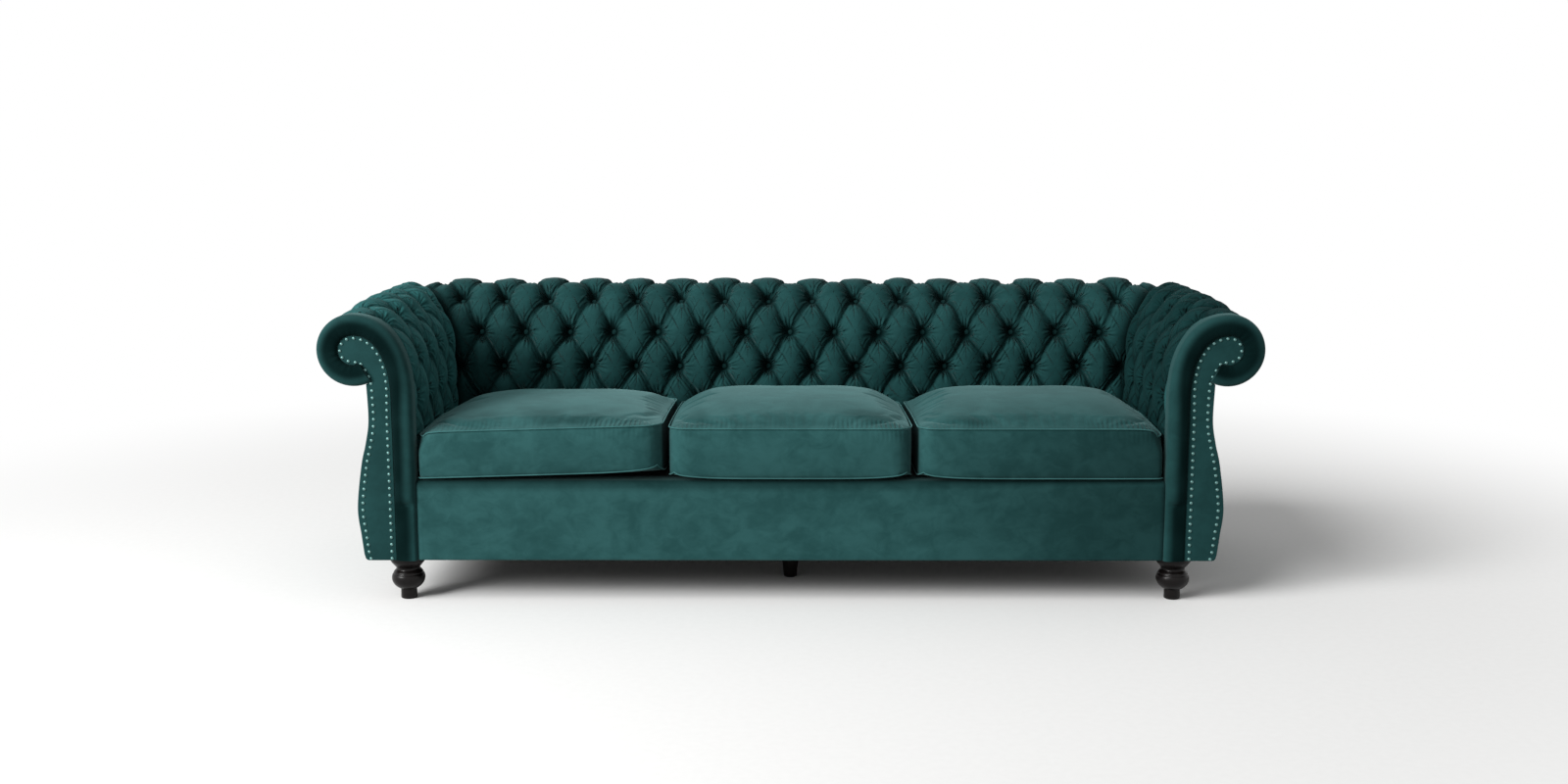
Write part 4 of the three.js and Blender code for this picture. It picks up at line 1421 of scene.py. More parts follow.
        def point_at(column_share: float, row_share: float) -> Vector:
            """Place a point of the cover."""
            point = loop[round(row_share * rows)]
            depth = rear - front
            y = mix(front, rear, column_share)
            reach = y - front
            eased = min(reach / wrap, 1.0)
            tuck = wrap * (1 - math.sqrt(max(1 - (1 - eased) ** 2, 0.0))) if row_share < 0.5 else 0.0
            dent = slack * ripple_noise(Vector((0, y, point.y)), 160 * MM, 5.0) * ease(0, 0.1 * depth, reach)
            return self.at(point.x - tuck + (dent if row_share < 0.5 else 0.0), y, point.y)

        shaped = formed_grid(columns, rows, point_at)
        cut_off(shaped, *self.layout.mitre(self.side.value))
        label = self.side.label + "_arm_outer_cover"
        return dressed_node(label, closed(shaped), SHADED_FRAME_VELVET)

    def build(self) -> None:
        """Make the front of this arm."""
        self.border()
        self.facing()
        self.nails()
        self.outer_cover()


@dataclass
class BackOuterCover:
    """The plain cover of the back's outer face."""

    layout: Layout = LAYOUT
    cover_thickness: float = 8 * MM
    slack: float = 1.5 * MM
    columns: int = 240

    def build(self) -> Object:
        """Form the cover between the two mitred corners.

        Returns:
            The cover's object.
        """
        layout, section = self.layout, self.layout.section
        outside = section.outer_line(0.0)
        inside = section.outer_line(self.cover_thickness)
        loop = [*outside, *reversed(inside), outside[0]]
        rows = len(loop) - 1
        half = CAD_HIGH.x

        def point_at(column_share: float, row_share: float) -> Vector:
            """Place a point of the cover."""
            point = loop[round(row_share * rows)]
            x = mix(-half, half, column_share)
            dent = (
                self.slack * ripple_noise(Vector((x, 0, point.y)), 220 * MM, 7.0) if row_share < 0.5 else 0.0
            )
            return Vector((x, layout.back_inner + layout.back_stretch * point.x + dent, point.y))

        shaped = formed_grid(self.columns, rows, point_at)
        for point, normal in (layout.mitre(1), layout.mitre(-1)):
            cut_off(shaped, point, -normal)
        return dressed(
            "back_outer_cover_dressed", closed(shaped), SHADED_FRAME_VELVET, replaced=["back_outer_cover"]
        )


@dataclass
class Apron:
    """The velvet front rail cover under the cushions, rolled over the edge of the platform."""

    layout: Layout = LAYOUT
    edge_radius: float = 14 * MM
    hem_radius: float = 4 * MM
    end_radius: float = 3.5 * MM
    cushion_shadow: float = 0.7  # painted shadow along the top, under the cushions' front edge
    cushion_shadow_reach: float = 30 * MM
    slack: float = 1.1 * MM
    columns: int = 280

    def build(self) -> Object:
        """Form the apron.

        Returns:
            The apron's object.
        """
        low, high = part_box("front_apron")
        front, rear = low.y, high.y
        bottom, top = low.z, high.z
        rail_back = self.layout.rail_back
        inner = front + self.layout.facing_thickness
        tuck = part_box("front_rail")[1].z + 14 * MM
        over = Vector((front + self.edge_radius, top - self.edge_radius))
        under = Vector((front + self.hem_radius, bottom + self.hem_radius))
        loop = []
        for step in range(7):
            angle = mix(-math.pi / 2, -math.pi, step / 6)
            loop.append(under + self.hem_radius * Vector((math.cos(angle), math.sin(angle))))
        face_steps = 26
        for step in range(1, face_steps):
            loop.append(Vector((front, mix(under.y, over.y, step / face_steps))))
        for step in range(13):
            angle = mix(math.pi, math.pi / 2, step / 12)
            loop.append(over + self.edge_radius * Vector((math.cos(angle), math.sin(angle))))
        loop += [Vector((rear, top)), Vector((rear, tuck)), Vector((inner, tuck))]
        cloth = 1.2 * MM
        loop += [
            Vector((inner, bottom + cloth)),
            Vector((rail_back, bottom + cloth)),
            Vector((rail_back, bottom)),
        ]
        loop.append(loop[0])
        rows = len(loop) - 1

        def point_at(column_share: float, row_share: float) -> Vector:
            """Place a point of the apron."""
            y, z = loop[round(row_share * rows)]
            x = mix(low.x, high.x, column_share)
            from_end = min(x - low.x, high.x - x)
            eased = min(from_end / self.end_radius, 1.0)
            turn = self.end_radius * (1 - math.sqrt(max(1 - (1 - eased) ** 2, 0.0)))
            on_face = y < front + self.edge_radius
            dent = self.slack * ripple_noise(Vector((x, 0, 2 * z)), 170 * MM, 11.0) if on_face else 0.0
            return Vector((x, y + (turn + dent if on_face else 0.0), z))

        shaped = formed_grid(self.columns, rows, point_at)
        shades = shaped.verts.layers.float.new(SHADE_LAYER)
        for vertex in shaped.verts:
            # Painted shadow under the cushions, and painted shade darkening towards the right end.
            under_cushion = self.cushion_shadow * (1 - ease(0.0, self.cushion_shadow_reach, top - vertex.co.z))
            vertex[shades] = max(self.layout.painted_falloff_shade(vertex.co), under_cushion)
        return dressed_node("front_apron", closed(shaped), VELVET)


# Seat cushions
@dataclass
class SeatCushion:
    """A loose boxed cushion: crowned top, drawn-in corners, welted seams, and a zip in its rear boxing."""

    seat: str
    seed: float
    layout: Layout = LAYOUT
    boxing: float = 121 * MM
    crown: float = 47 * MM
    lean: float = 0.0  # the right end of the upper seam stands this much over its middle
    lean_lift: float = 0.0  # and the right end of the lower front edge this much over its left end
    front_lift: float = 5 * MM
    lift_power: float = 2.5
    rear_drop: float = 27 * MM  # the upper seam sinks this much towards the back
    arm_side: int = 0  # the side that stands against an arm, -1 for the left
    arm_drop: float = 20 * MM  # the front corner beside the arm slumps this much
    corner_radius: float = 42 * MM  # in plan
    arm_corner_radius: float = 14 * MM  # of the boxing beside an arm
    worn_side: int = 0  # the side where the filling has sunk, -1 for the left
    worn_power: float = 2.3
    across_power: float = 4.8
    along_power: float = 2.6
    front_bulge: float = 6 * MM
    side_draw: float = 1.5 * MM
    corner_draw: float = 2 * MM
    corner_lift: float = 12 * MM
    corner_power: float = 5
    crown_slack: float = 11 * MM  # the filling lifts the crown this much
    cuts: int = 40
    voxel: float = 6.5 * MM
    pressure: float = 4.0
    extra_cloth: float = 0.02
    sim_frames: int = 20
    cap: float = 9 * MM
    boxing_slack: float = 0.12  # the boxing follows this much of the filling's push
    seam_hold: float = 6 * MM
    welt_radius: float = 1.5 * MM
    seam_draw: float = 0.3 * MM
    welt_sides: int = 8
    core_gap: float = 12 * MM
    # painted shade on the sides that face a neighbour
    gap_shade: float = 0.9
    mark_shade: float = 0.34  # painted shade in random patches on the front of the crown, which slopes down to the seam
    mark_depth: float = 150 * MM
    mark_size: float = 80 * MM
    pucker_reach: float = 40 * MM

    def __post_init__(self) -> None:
        """Read the cushion's place from the frame."""
        low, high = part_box(self.seat + "_cushion_cover")
        self.centre_x = (low.x + high.x) / 2
        self.half_width = (high.x - low.x) / 2
        self.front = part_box("front_apron")[0].y - 2 * MM
        self.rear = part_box(self.seat + "_cushion_zip_tape")[0].y + FIT
        self.bottom = low.z
        self.seam = self.bottom + self.boxing

    def shape(
        self, across: float, along: float, up: float, inset: float = 0.0, lowered: float = 0.0
    ) -> Vector:
        """Find a point of the cushion.

        Args:
            across: -1 to 1 from its left to its right.
            along: -1 to 1 from front to rear.
            up: -1 to 1 from the lower seam to the upper one.
            inset: how far inside the finished sides.
            lowered: how far under the finished crown.

        Returns:
            The point.
        """
        corner = abs(across * along) ** self.corner_power
        power = self.worn_power if across * self.worn_side > 0 else self.across_power
        dome = (1 - abs(across) ** power) * (1 - abs(along) ** self.along_power)
        front = max(-along, 0.0)
        waist = (1 - along * along) * self.side_draw
        bulge = (1 - up * up) * (1 - across * across) * front * self.front_bulge
        by_arm = across * self.arm_side > 0
        raised = 0.0 if by_arm else corner * self.corner_lift
        raised += self.front_lift + self.lean_lift * (across + 1) / 2
        lift = front**self.lift_power * raised * (1 - up) / 2
        middle, half_run = (self.front + self.rear) / 2, (self.rear - self.front) / 2
        seam = self.seam_height(across, along)
        x = across * (self.half_width - inset - waist - corner * self.corner_draw)
        y = middle + along * (half_run - inset - corner * front * self.corner_draw) - bulge
        high = ease(0.1, 1.0, up)
        radius = mix(self.arm_corner_radius, self.corner_radius, high) if by_arm else self.corner_radius
        if by_arm:
            x += across * 1.6 * MM * (1 - high)
        past_side = abs(x) - (self.half_width - inset - radius)
        past_end = abs(y - middle) - (half_run - inset - radius)
        if past_side > 0 and past_end > 0:
            rounding = max(past_side, past_end) / math.hypot(past_side, past_end)
            x -= math.copysign(past_side * (1 - rounding), x)
            y -= math.copysign(past_end * (1 - rounding), y - middle)
        z = mix(self.bottom, seam, (up + 1) / 2) + lift
        if up > 0.999:
            z += dome * (self.crown - lowered + self.seam - seam)
        return Vector((self.centre_x + x, y, z))

    def seam_height(self, across: float, along: float) -> float:
        """Return the height of the upper seam at a place of the rim."""
        height = self.seam + self.lean * across - self.rear_drop * ((along + 1) / 2) ** 1.5
        if across * self.arm_side > 0:
            height -= self.arm_drop * abs(across) ** 16 * max(-along, 0.0)
        return height

    def over_seam(self, point: Vector) -> float:
        """Return how far a point of the cushion lies over its upper seam."""
        across = min(max((point.x - self.centre_x) / self.half_width, -1.0), 1.0)
        along = min(max(2 * (point.y - self.front) / (self.rear - self.front) - 1, -1.0), 1.0)
        return point.z - self.seam_height(across, along)

    def sewn_shape(self) -> BMesh:
        """Sew the cover: a closed cube of three panels, shaped and a little slack."""
        shaped = bmesh.new()
        bmesh.ops.create_cube(shaped, size=2)
        bmesh.ops.subdivide_edges(shaped, edges=shaped.edges[:], cuts=self.cuts, use_grid_fill=True)
        for vertex in shaped.verts:
            vertex.co = self.shape(*vertex.co, lowered=self.crown_slack)
        return shaped

    def ring(self, up: float, steps: int = 56) -> list[Vector]:
        """Draw the seam that runs round the cushion.

        Args:
            up: -1 for the lower seam, 1 for the upper one.
            steps: points on each side.

        Returns:
            Points of the closed ring, without the last.
        """
        corners = [(-1, -1), (1, -1), (1, 1), (-1, 1), (-1, -1)]
        points = []
        for (u0, v0), (u1, v1) in zip(corners, corners[1:]):
            for step in range(steps):
                share = step / steps
                across, along = mix(u0, u1, share), mix(v0, v1, share)
                level = min(up, 0.998)
                points.append(self.shape(across, along, level))
        return points

    def filled(self, sewn: Object, pins: Sequence[float]) -> Mesh:
        """Fill the sewn cover: inflate it as cloth while its seams hold.

        Args:
            sewn: the remeshed cover.
            pins: hold of each vertex, 0 to 1.

        Returns:
            The filled mesh.
        """
        group = sewn.vertex_groups.new(name="seams")
        for index, hold in enumerate(pins):
            if hold > 0:
                group.add([index], hold, "REPLACE")
        cloth = sewn.modifiers.new("filling", "CLOTH")
        settings = cloth.settings
        settings.quality = 6
        settings.mass = 0.3
        settings.tension_stiffness = 12
        settings.compression_stiffness = 8
        settings.shear_stiffness = 4
        settings.bending_stiffness = 0.8
        settings.vertex_group_mass = group.name
        settings.use_pressure = True
        settings.uniform_pressure_force = self.pressure
        settings.shrink_min = -self.extra_cloth
        settings.effector_weights.gravity = 0
        cloth.collision_settings.use_collision = False
        cloth.point_cache.frame_start = 1
        cloth.point_cache.frame_end = self.sim_frames
        scene = bpy.context.scene
        for step in range(1, self.sim_frames + 1):
            scene.frame_set(step)
        result = evaluated(sewn)
        scene.frame_set(1)
        return result

    def hold_of(self, point: Vector) -> float:
        """Find how firmly the seams and the platform hold a point.

        Args:
            point: a point of the sewn cover.

        Returns:
            1 where it can't move, 0 where it can.
        """
        on_base = point.z < self.bottom + 3 * MM
        at_seam = abs(self.over_seam(point)) < self.seam_hold and self.from_rim(point) < 2.5 * self.seam_hold
        at_welt = point.z < self.bottom + 12 * MM
        return 1.0 if on_base or at_seam or at_welt else 0.0

    def from_rim(self, point: Vector) -> float:
        """Measure how far inside the cushion's plan a point lies."""
        to_side = self.half_width - abs(point.x - self.centre_x)
        return min(to_side, point.y - self.front, self.rear - point.y)

    def build(self) -> Object:
        """Sew, fill and finish the cushion.

        Returns:
            The cushion's object.
        """
        sewn = plain_object(self.seat + "_sewn", self.sewn_shape())
        remesh = sewn.modifiers.new("weave", "REMESH")
        remesh.mode = "VOXEL"
        remesh.voxel_size = self.voxel
        remeshed = plain_object(self.seat + "_filled", mesh=evaluated(sewn))
        rest = [vertex.co.copy() for vertex in remeshed.data.vertices]
        final = rest
        pins = [self.hold_of(point) for point in rest]
        swollen = self.filled(remeshed, pins)
        final = [vertex.co.copy() for vertex in swollen.vertices]
        shaped = bmesh.new()
        shaped.from_mesh(remeshed.data)
        shaped.verts.ensure_lookup_table()
        for vertex, start, end in zip(shaped.verts, rest, final):
            move = end - start
            if move.length > self.cap:
                move *= self.cap / move.length
            move *= mix(self.boxing_slack, 1.0, ease(-2 * MM, 10 * MM, self.over_seam(start)))
            vertex.co = self.kept_clear(start + move)
        self.pucker(shaped)
        bpy.data.objects.remove(sewn)
        bpy.data.objects.remove(remeshed)
        node = self.seat + "_cushion_cover"
        cushion = dressed(
            node + "_dressed", closed(shaped), CUSHION_VELVET, self.seat + "_cushion",
            replaced=[node],
        )
        smooth = cushion.modifiers.new("smooth", "SUBSURF")
        smooth.levels = smooth.render_levels = 1
        self.welts()
        self.core()
        return cushion

    def core(self) -> None:
        """Cut the foam that fills the cushion."""
        shaped = bmesh.new()
        bmesh.ops.create_cube(shaped, size=2)
        bmesh.ops.subdivide_edges(shaped, edges=shaped.edges[:], cuts=12, use_grid_fill=True)
        for vertex in shaped.verts:
            up = max(vertex.co.z, 0.0)
            vertex.co = self.shape(*vertex.co, inset=self.core_gap, lowered=self.core_gap)
            vertex.co.z = max(vertex.co.z - up * self.core_gap, self.bottom + self.core_gap)
        node = self.seat + "_cushion_foam_core"
        dressed_node(node, closed(shaped), CUT_FOAM, self.seat + "_cushion")

    def kept_clear(self, point: Vector) -> Vector:
        """Keep a point inside the cushion's own space, clear of its neighbours and the platform.

        Args:
            point: where the filling pushed it.

        Returns:
            The nearest place that is clear.
        """
        reach = self.half_width + 0.8 * MM
        x = min(max(point.x, self.centre_x - reach), self.centre_x + reach)
        y = min(max(point.y, self.front - self.front_bulge - 6 * MM), self.rear)
        return Vector((x, y, max(point.z, self.bottom)))

    def pucker(self, shaped: BMesh) -> None:
        """Draw the seams in and gather the cloth beside them, most near the corners, and paint shade over the
        cushion.

        Args:
            shaped: the cushion's mesh.
        """
        normals = [vertex.normal.copy() for vertex in shaped.verts]
        shades = shaped.verts.layers.float.new(SHADE_LAYER)
        gathers = shaped.verts.layers.float.new(PUCKER_LAYER)
        half = self.half_width
        for vertex, normal in zip(shaped.verts, normals):
            point = vertex.co
            from_rim = max(self.from_rim(point), 0.0)
            off_seam = self.over_seam(point)
            # Painted shade: patches on the crown's front slope, darker towards the right end, and nearly black
            # on the sides in the gaps.
            slope = 1 - ease(self.mark_depth / 4, self.mark_depth, point.y - self.front)
            mark = ease(-0.25, 0.45, ripple_noise(point, self.mark_size, self.seed))
            marked = self.mark_shade * slope * mark * ease(0.0, 12 * MM, off_seam)
            falloff_shade = self.layout.painted_falloff_shade(point) * (0.5 if off_seam > 0 else 1.0)
            to_side = half - abs(point.x - self.centre_x)
            in_gap = self.gap_shade * (1 - ease(1 * MM, 6 * MM, to_side))
            in_gap *= ease(12 * MM, 40 * MM, point.y - self.front)
            vertex[shades] = max(marked, falloff_shade, in_gap * (1 - ease(-4 * MM, 6 * MM, off_seam)))
            reach = math.hypot(off_seam, 0.55 * from_rim) if off_seam > 0 else abs(off_seam)
            if reach > self.pucker_reach or from_rim > self.pucker_reach:
                continue
            side_on = half - abs(point.x - self.centre_x) < min(point.y - self.front, self.rear - point.y)
            travel = point.y if side_on else point.x
            to_corner = (
                min(point.y - self.front, self.rear - point.y)
                if side_on
                else half - abs(point.x - self.centre_x)
            )
            local = 1 - ease(90 * MM, 210 * MM, to_corner)
            patch = 0.5 + 0.5 * ripple_noise(Vector((travel, 0, 0)), 70 * MM, self.seed)
            under = 1.0 if off_seam > 0 else 0.16
            right = 1.0 if point.x > self.centre_x else 0.4
            window = ease(0.0, 5 * MM, reach) * (1 - ease(12 * MM, self.pucker_reach, reach))
            vertex[gathers] = 0.0 if side_on else (0.12 + 0.88 * local * right) * patch * window * under
            groove = self.seam_draw * math.exp(-((reach / (5 * MM)) ** 2))
            vertex.co = self.kept_clear(point - normal * groove)

    def welts(self) -> None:
        """Sew a thin welt into the upper and the lower seam."""
        for word, up in (("top", 1.0), ("bottom", -1.0)):
            ring = self.ring(up)
            lift = 0.2 * MM if up > 0 else 1.4 * MM
            points = [point + Vector((0, 0, lift)) for point in ring]
            welt = closed(tube(points, self.welt_radius, self.welt_sides))
            dressed(f"{self.seat}_cushion_{word}_welt", welt, LIGHTENED_WELT_VELVET, self.seat + "_cushion")


# How each cushion has settled: the left one has sunk beside its arm and leans that way.
CUSHION_WEAR: dict[str, dict[str, float]] = {
    "left": {
        "arm_side": -1,
        "arm_drop": 12 * MM,
        "worn_side": -1,
        "worn_power": 3.2,
        "across_power": 3.6,
        "crown": 37 * MM,
        "lean": 8 * MM,
        "lean_lift": 17 * MM,
    },
    "centre": {},
    "right": {"arm_side": 1},
}


def tube(ring: Sequence[Vector], radius: float, sides: int) -> BMesh:
    """Form a tube along a closed ring of points.

    Args:
        ring: the points, without the first one again.
        radius: radius of the tube.
        sides: faces round it.

    Returns:
        The mesh, whose seams still need welding.
    """
    count = len(ring)

    def point_at(column_share: float, row_share: float) -> Vector:
        """Place a point of the tube."""
        index = round(column_share * count) % count
        heading = (ring[(index + 1) % count] - ring[index - 1]).normalized()
        outward = heading.cross(Vector((0, 0, 1))).normalized()
        upward = outward.cross(heading)
        angle = math.tau * row_share
        return ring[index] + radius * (outward * math.cos(angle) + upward * math.sin(angle))

    return formed_grid(count, sides, point_at)


def plain_object(
    name: str, shaped: BMesh | None = None, mesh: Mesh | None = None
) -> Object:
    """Make a working object that is removed again.

    Args:
        name: name of the object.
        shaped: its mesh, which is freed, or None.
        mesh: a ready mesh instead.

    Returns:
        The object.
    """
    if mesh is None:
        mesh = bpy.data.meshes.new(name)
        shaped.to_mesh(mesh)
        shaped.free()
    working = bpy.data.objects.new(name, mesh)
    bpy.context.scene.collection.objects.link(working)
    return working


def evaluated(piece: Object) -> Mesh:
    """Return a new mesh of a piece as its modifiers leave it."""
    graph = bpy.context.evaluated_depsgraph_get()
    return bpy.data.meshes.new_from_object(piece.evaluated_get(graph))


# Platform and underside
@dataclass
class Platform:
    """The padded platform under the cushions and the black cloth under the frame."""

    crown: float = 3.5 * MM
    edge: float = 6 * MM
    cloth_thickness: float = 0.8 * MM

    def deck(self) -> Object:
        """Form the platform pad with soft edges and a low crown.

        Returns:
            The pad's object.
        """
        low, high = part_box("deck_pad")
        shaped = bmesh.new()
        bmesh.ops.create_cube(shaped, size=1)
        bmesh.ops.scale(shaped, verts=shaped.verts[:], vec=high - low)
        bmesh.ops.translate(shaped, verts=shaped.verts[:], vec=(low + high) / 2)
        bmesh.ops.bevel(
            shaped, geom=shaped.edges[:], offset=self.edge, affect="EDGES", segments=4, profile=0.5,
            material=-1,
            clamp_overlap=True,
        )
        long_edges = [edge for edge in shaped.edges if edge.calc_length() > 0.2]
        bmesh.ops.subdivide_edges(shaped, edges=long_edges, cuts=40, use_grid_fill=True)
        for vertex in shaped.verts:
            if vertex.co.z > high.z - WELD:
                vertex.co.z -= self.crown * (0.5 + 0.5 * ripple_noise(vertex.co, 130 * MM, 1.0))
        pad = dressed_node("deck_pad", closed(shaped), PLATFORM_CLOTH)
        return pad

    def dust_cloth(self) -> Object:
        """Stretch the lining cloth under the frame.

        Returns:
            The cloth's object.
        """
        low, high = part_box("dust_cover")

        def point_at(column_share: float, row_share: float) -> Vector:
            """Place a point of the cloth."""
            x, y = mix(low.x, high.x, column_share), mix(low.y, high.y, row_share)
            middle = (1 - (2 * column_share - 1) ** 4) * (1 - (2 * row_share - 1) ** 4)
            sag = 0.5 * MM * middle * (1 + ripple_noise(Vector((x, y, 0)), 90 * MM, 2.0)) / 2
            return Vector((x, y, high.z - self.cloth_thickness / 2 - sag))

        shaped = formed_grid(120, 50, point_at)
        cloth = dressed_node("dust_cover", shaped, BLACK_CAMBRIC)
        wall = cloth.modifiers.new("thickness", "SOLIDIFY")
        wall.thickness = self.cloth_thickness
        wall.offset = 0
        return cloth


# Feet
@dataclass
class Feet:
    """The turned front feet and the plain tapered ones."""

    sides: int = 56
    flange_radius: float = 40 * MM
    ball_radius: float = 38.3 * MM
    ball_low_share: float = 0.23
    ball_high_share: float = 0.69
    toe_shares: tuple[tuple[float, float], ...] = ((0.0, 0.0), (0.4, 0.0), (0.45, 0.012), (0.47, 0.03))
    toe_top_share: float = 0.46
    neck_share: float = 0.71
    stem_shares: tuple[tuple[float, float], ...] = (
        (0.69, 0.7), (0.68, 0.72), (0.69, 0.742), (0.73, 0.764), (0.82, 0.806), (0.9, 0.845), (0.955, 0.872),
        (0.985, 0.89), (1.0, 0.91), (1.0, 1.0), (0.0, 1.0),
    )
    ring_share: float = 0.6  # a groove turned round the ball's shoulder
    ring_depth: float = 1.5 * MM
    ring_width: float = 1.6 * MM
    taper_top: float = 25 * MM
    taper_bottom: float = 16 * MM
    taper_ease: float = 2.5 * MM
    ball_steps: int = 40

    def turned_profile(self, height: float) -> list[tuple[float, float]]:
        """Draw the profile of a front foot.

        Args:
            height: height of the foot.

        Returns:
            Radius and height of each point, from the floor up.
        """
        low, high = self.ball_low_share * height, self.ball_high_share * height
        lower = -math.acos(self.toe_top_share * self.flange_radius / self.ball_radius)
        upper = math.acos(self.neck_share * self.flange_radius / self.ball_radius)
        ball = []
        for step in range(self.ball_steps + 1):
            angle = mix(lower, upper, step / self.ball_steps)
            rise = (math.sin(angle) - math.sin(lower)) / (math.sin(upper) - math.sin(lower))
            up = mix(low, high, rise)
            groove = self.ring_depth * math.exp(-(((up - self.ring_share * height) / self.ring_width) ** 2))
            ball.append((self.ball_radius * math.cos(angle) - groove, up))
        toe = [(radius * self.flange_radius, up * height) for radius, up in self.toe_shares]
        stem = [(radius * self.flange_radius, up * height) for radius, up in self.stem_shares]
        return toe + ball + stem

    def tapered_profile(self, height: float) -> list[tuple[float, float]]:
        """Draw the profile of a plain foot.

        Args:
            height: height of the foot.

        Returns:
            Radius and height of each point, from the floor up.
        """
        rounding = [
            (
                self.taper_bottom - self.taper_ease * (1 - math.sin(math.pi / 2 * step / 4)),
                self.taper_ease * (1 - math.cos(math.pi / 2 * step / 4)),
            )
            for step in range(5)
        ]
        return [(0.0, 0.0), *rounding, (self.taper_top, height), (0.0, height)]

    def build(self) -> None:
        """Turn every foot at its own place."""
        for node in (
            "left_front_foot", "right_front_foot", "left_rear_foot", "right_rear_foot", "middle_foot"
        ):
            low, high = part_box(node)
            height = high.z - low.z
            profile = self.turned_profile(height) if "front" in node else self.tapered_profile(height)
            shaped = turned(profile, self.sides)
            bmesh.ops.translate(
                shaped, verts=shaped.verts[:], vec=((low.x + high.x) / 2, (low.y + high.y) / 2, low.z)
            )
            dressed_node(node, shaped, LACQUERED_BEECH)


def finish_nodes() -> None:
    """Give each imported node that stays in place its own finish."""
    finishes = {
        "frame_wood": PLANED_HARDWOOD,
        "foot_wood": LACQUERED_BEECH,
        "steel": DRAWN_STEEL,
        "foam": CUT_FOAM,
        "black_cloth": BLACK_CAMBRIC,
        "zip_metal": CAST_ZINC,
        "velvet": VELVET,
    }
    slots = {part["node"]: part["material_slot"] for part in frame["record"]["subparts"]}
    for name, node in frame["nodes"].items():
        finish = NYLON_TAPE if name.endswith("zip_tape") else finishes[slots[name]]
        node.data.materials.clear()
        node.data.materials.append(PALETTE.of(finish))
    log.info("%d packed nodes finished", len(slots))


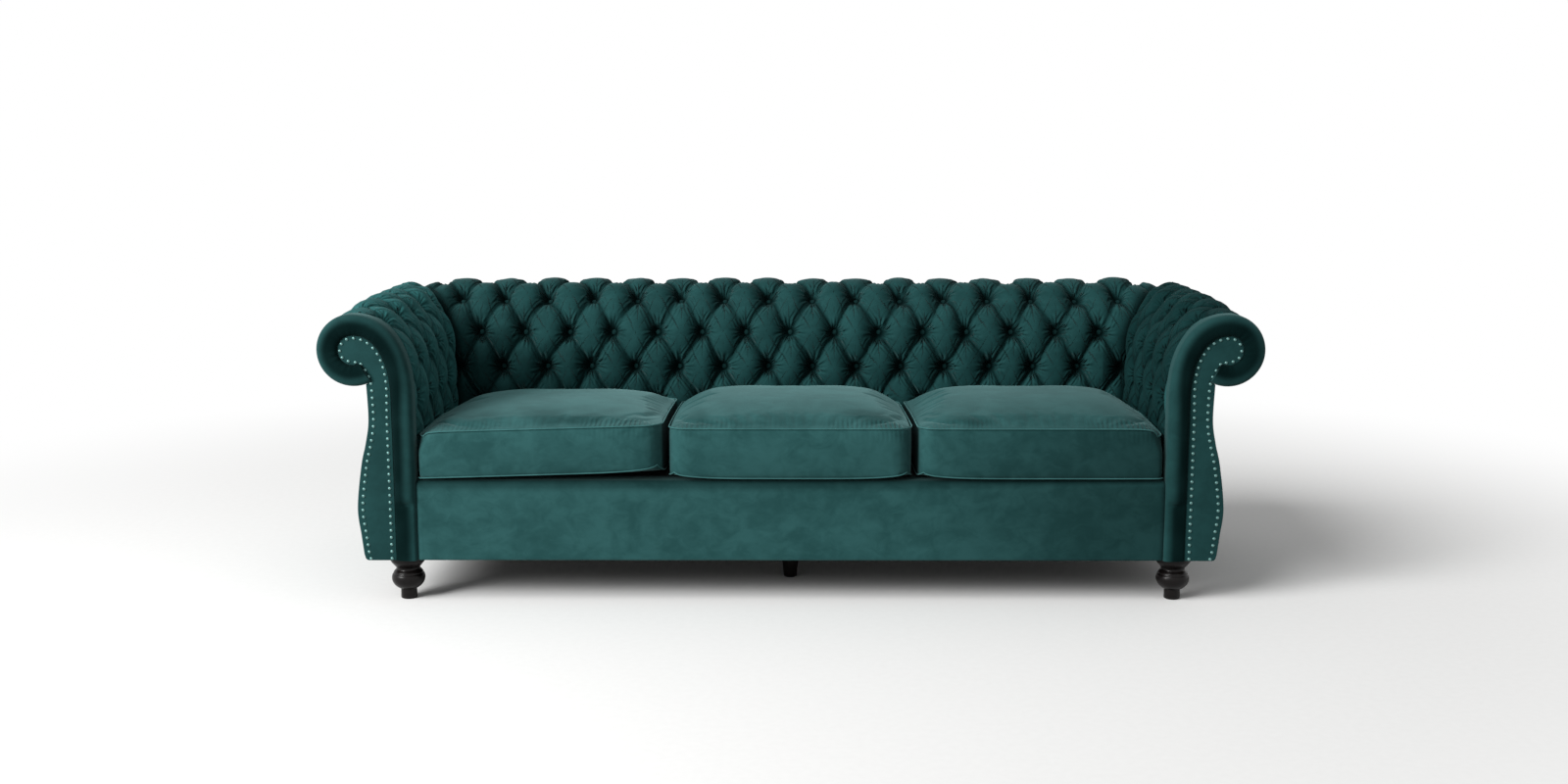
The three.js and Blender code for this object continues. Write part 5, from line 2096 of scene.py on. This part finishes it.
# Stage, light and camera
@dataclass(frozen=True)
class Stage:
    """A pale floor that keeps the sofa's shadow, soft light from the front left, and a white surround."""

    floor_size: float = 60.0
    floor_colour: str = "#F8F8F7"
    floor_fibre: str = "#F3F3F2"
    clear_from: float = 1.5  # the camera sees plain white past this distance
    clear_to: float = 3.2
    floor_bounce: str = "#959594"  # what the floor gives back to the sofa
    surround_light: float = 0.37
    key_strength: float = 2.3
    key_from: tuple[float, float, float] = (-3.0, -2.1, 2.7)
    key_spread: float = math.radians(36)
    box_strength: float = 76.0
    box_place: tuple[float, float, float] = (-2.9, -2.5, 1.5)
    box_size: float = 1.1
    box_aim: tuple[float, float, float] = (-0.2, 0.0, 0.4)

    def build(self) -> None:
        """Lay the floor and set the lights."""
        shaped = bmesh.new()
        bmesh.ops.create_grid(shaped, x_segments=1, y_segments=1, size=self.floor_size / 2)
        mesh = bpy.data.meshes.new("studio_floor")
        shaped.to_mesh(mesh)
        shaped.free()
        mesh.materials.append(self.floor_surface())
        floor = bpy.data.objects.new("studio_floor", mesh)
        bpy.context.scene.collection.objects.link(floor)
        self.key_light()
        self.soft_box()
        self.surround()

    def floor_surface(self) -> Material:
        """Build the floor's pale matt paper, which turns to plain white away from the sofa."""
        surface, tree = new_surface("pale_matt_paper")
        place = add_node(tree, "ShaderNodeTexCoord").outputs["Object"]
        fibre = add_node(tree, "ShaderNodeTexNoise", {"Vector": place, "Scale": 60.0, "Detail": 2.0})
        colour = add_node(
            tree, "ShaderNodeMix",
            {0: fibre.outputs["Fac"], 6: srgb(self.floor_fibre), 7: srgb(self.floor_colour)},
            data_type="RGBA",
        )
        path = add_node(tree, "ShaderNodeLightPath")
        seen = add_node(
            tree, "ShaderNodeMath",
            {0: path.outputs["Is Camera Ray"], 1: path.outputs["Is Glossy Ray"]}, operation="MAXIMUM",
        )
        given = add_node(
            tree, "ShaderNodeMix",
            {0: seen.outputs[0], 6: srgb(self.floor_bounce), 7: colour.outputs[2]}, data_type="RGBA",
        )
        paper = add_node(tree, "ShaderNodeBsdfDiffuse", {"Color": given.outputs[2]})
        plain = add_node(tree, "ShaderNodeEmission", {"Color": srgb("#FFFFFF")})
        away = add_node(tree, "ShaderNodeVectorMath", {0: place}, operation="LENGTH")
        clear = add_node(
            tree, "ShaderNodeMapRange",
            {"Value": away.outputs["Value"], "From Min": self.clear_from, "From Max": self.clear_to},
            interpolation_type="SMOOTHSTEP",
        )
        shown = add_node(
            tree, "ShaderNodeMath", {0: seen.outputs[0], 1: clear.outputs[0]}, operation="MULTIPLY"
        )
        mixed = add_node(
            tree, "ShaderNodeMixShader", {0: shown.outputs[0], 1: paper.outputs[0], 2: plain.outputs[0]}
        )
        add_node(tree, "ShaderNodeOutputMaterial", {"Surface": mixed.outputs[0]})
        return surface

    def key_light(self) -> None:
        """Shine wide, even light at the sofa from high on the left."""
        light = bpy.data.lights.new("key_light", "SUN")
        light.energy = self.key_strength
        light.angle = self.key_spread
        self.hang(light, Vector(self.key_from), Vector((0, 0, 0)))

    def soft_box(self) -> None:
        """Hang a soft box near the left end, whose light falls off along the sofa."""
        light = bpy.data.lights.new("soft_box", "AREA")
        light.energy = self.box_strength
        light.size = self.box_size
        self.hang(light, Vector(self.box_place), Vector(self.box_aim))

    def hang(self, light: Light, place: Vector, aim: Vector) -> None:
        """Place a lamp and turn it to its aim.

        Args:
            light: the lamp's data.
            place: where it hangs.
            aim: the point that it shines at.
        """
        lamp = bpy.data.objects.new(light.name, light)
        lamp.location = place
        lamp.rotation_euler = (aim - place).to_track_quat("-Z", "Y").to_euler()
        bpy.context.scene.collection.objects.link(lamp)

    def surround(self) -> None:
        """Light the sofa evenly from all round, and show white behind it."""
        world = bpy.data.worlds.new("white_surround")
        bpy.context.scene.world = world
        world.use_nodes = True
        tree = world.node_tree
        tree.nodes.clear()
        path = add_node(tree, "ShaderNodeLightPath")
        seen = add_node(
            tree, "ShaderNodeMath",
            {0: path.outputs["Is Camera Ray"], 1: path.outputs["Is Glossy Ray"]}, operation="MAXIMUM",
        )
        shown = add_node(
            tree, "ShaderNodeMath", {0: seen.outputs[0], 1: path.outputs["Is Transmission Ray"]},
            operation="MAXIMUM",
        )
        strength = add_node(
            tree, "ShaderNodeMapRange",
            {"Value": shown.outputs[0], "To Min": self.surround_light, "To Max": 1.0},
        )
        white = add_node(
            tree, "ShaderNodeBackground", {"Color": srgb("#FFFFFF"), "Strength": strength.outputs[0]}
        )
        add_node(tree, "ShaderNodeOutputWorld", {"Surface": white.outputs[0]})


@dataclass(frozen=True)
class PhotoCamera:
    """The camera at the photograph's place: straight in front, a little over a metre up, tilted down."""

    place: tuple[float, float, float] = (0.0, -4.166, 1.0965)
    tilt_down: float = math.radians(9.1)
    turn_left: float = math.radians(0.218)
    lens: float = 38.69  # mm, on a sensor 36 mm wide
    sensor: float = 36.0

    def build(self) -> Object:
        """Set up the scene's camera.

        Returns:
            The camera's object.
        """
        optics = bpy.data.cameras.new("photo_camera")
        optics.lens = self.lens
        optics.sensor_width = self.sensor
        optics.sensor_fit = "HORIZONTAL"
        camera = bpy.data.objects.new("photo_camera", optics)
        camera.location = self.place
        camera.rotation_euler = (math.pi / 2 - self.tilt_down, 0.0, self.turn_left)
        bpy.context.scene.collection.objects.link(camera)
        bpy.context.scene.camera = camera
        return camera


def main() -> None:
    """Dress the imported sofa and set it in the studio."""
    logging.basicConfig(level=logging.INFO, format="%(name)s: %(message)s")
    bpy.context.scene.view_settings.view_transform = "Standard"
    PhotoCamera().build()
    Stage().build()
    finish_nodes()
    back_cover().build(["back_tufted_cover"])
    for side in Side:
        arm_cover(side).build([side.label + "_arm_tufted_cover"])
        ArmFront(side).build()
    BackOuterCover().build()
    Apron().build()
    for seed, seat in enumerate(("left", "centre", "right"), start=1):
        SeatCushion(seat, seed=float(seed), **CUSHION_WEAR[seat]).build()
    platform = Platform()
    platform.deck()
    platform.dust_cloth()
    Feet().build()


if __name__ == "__main__":
    main()
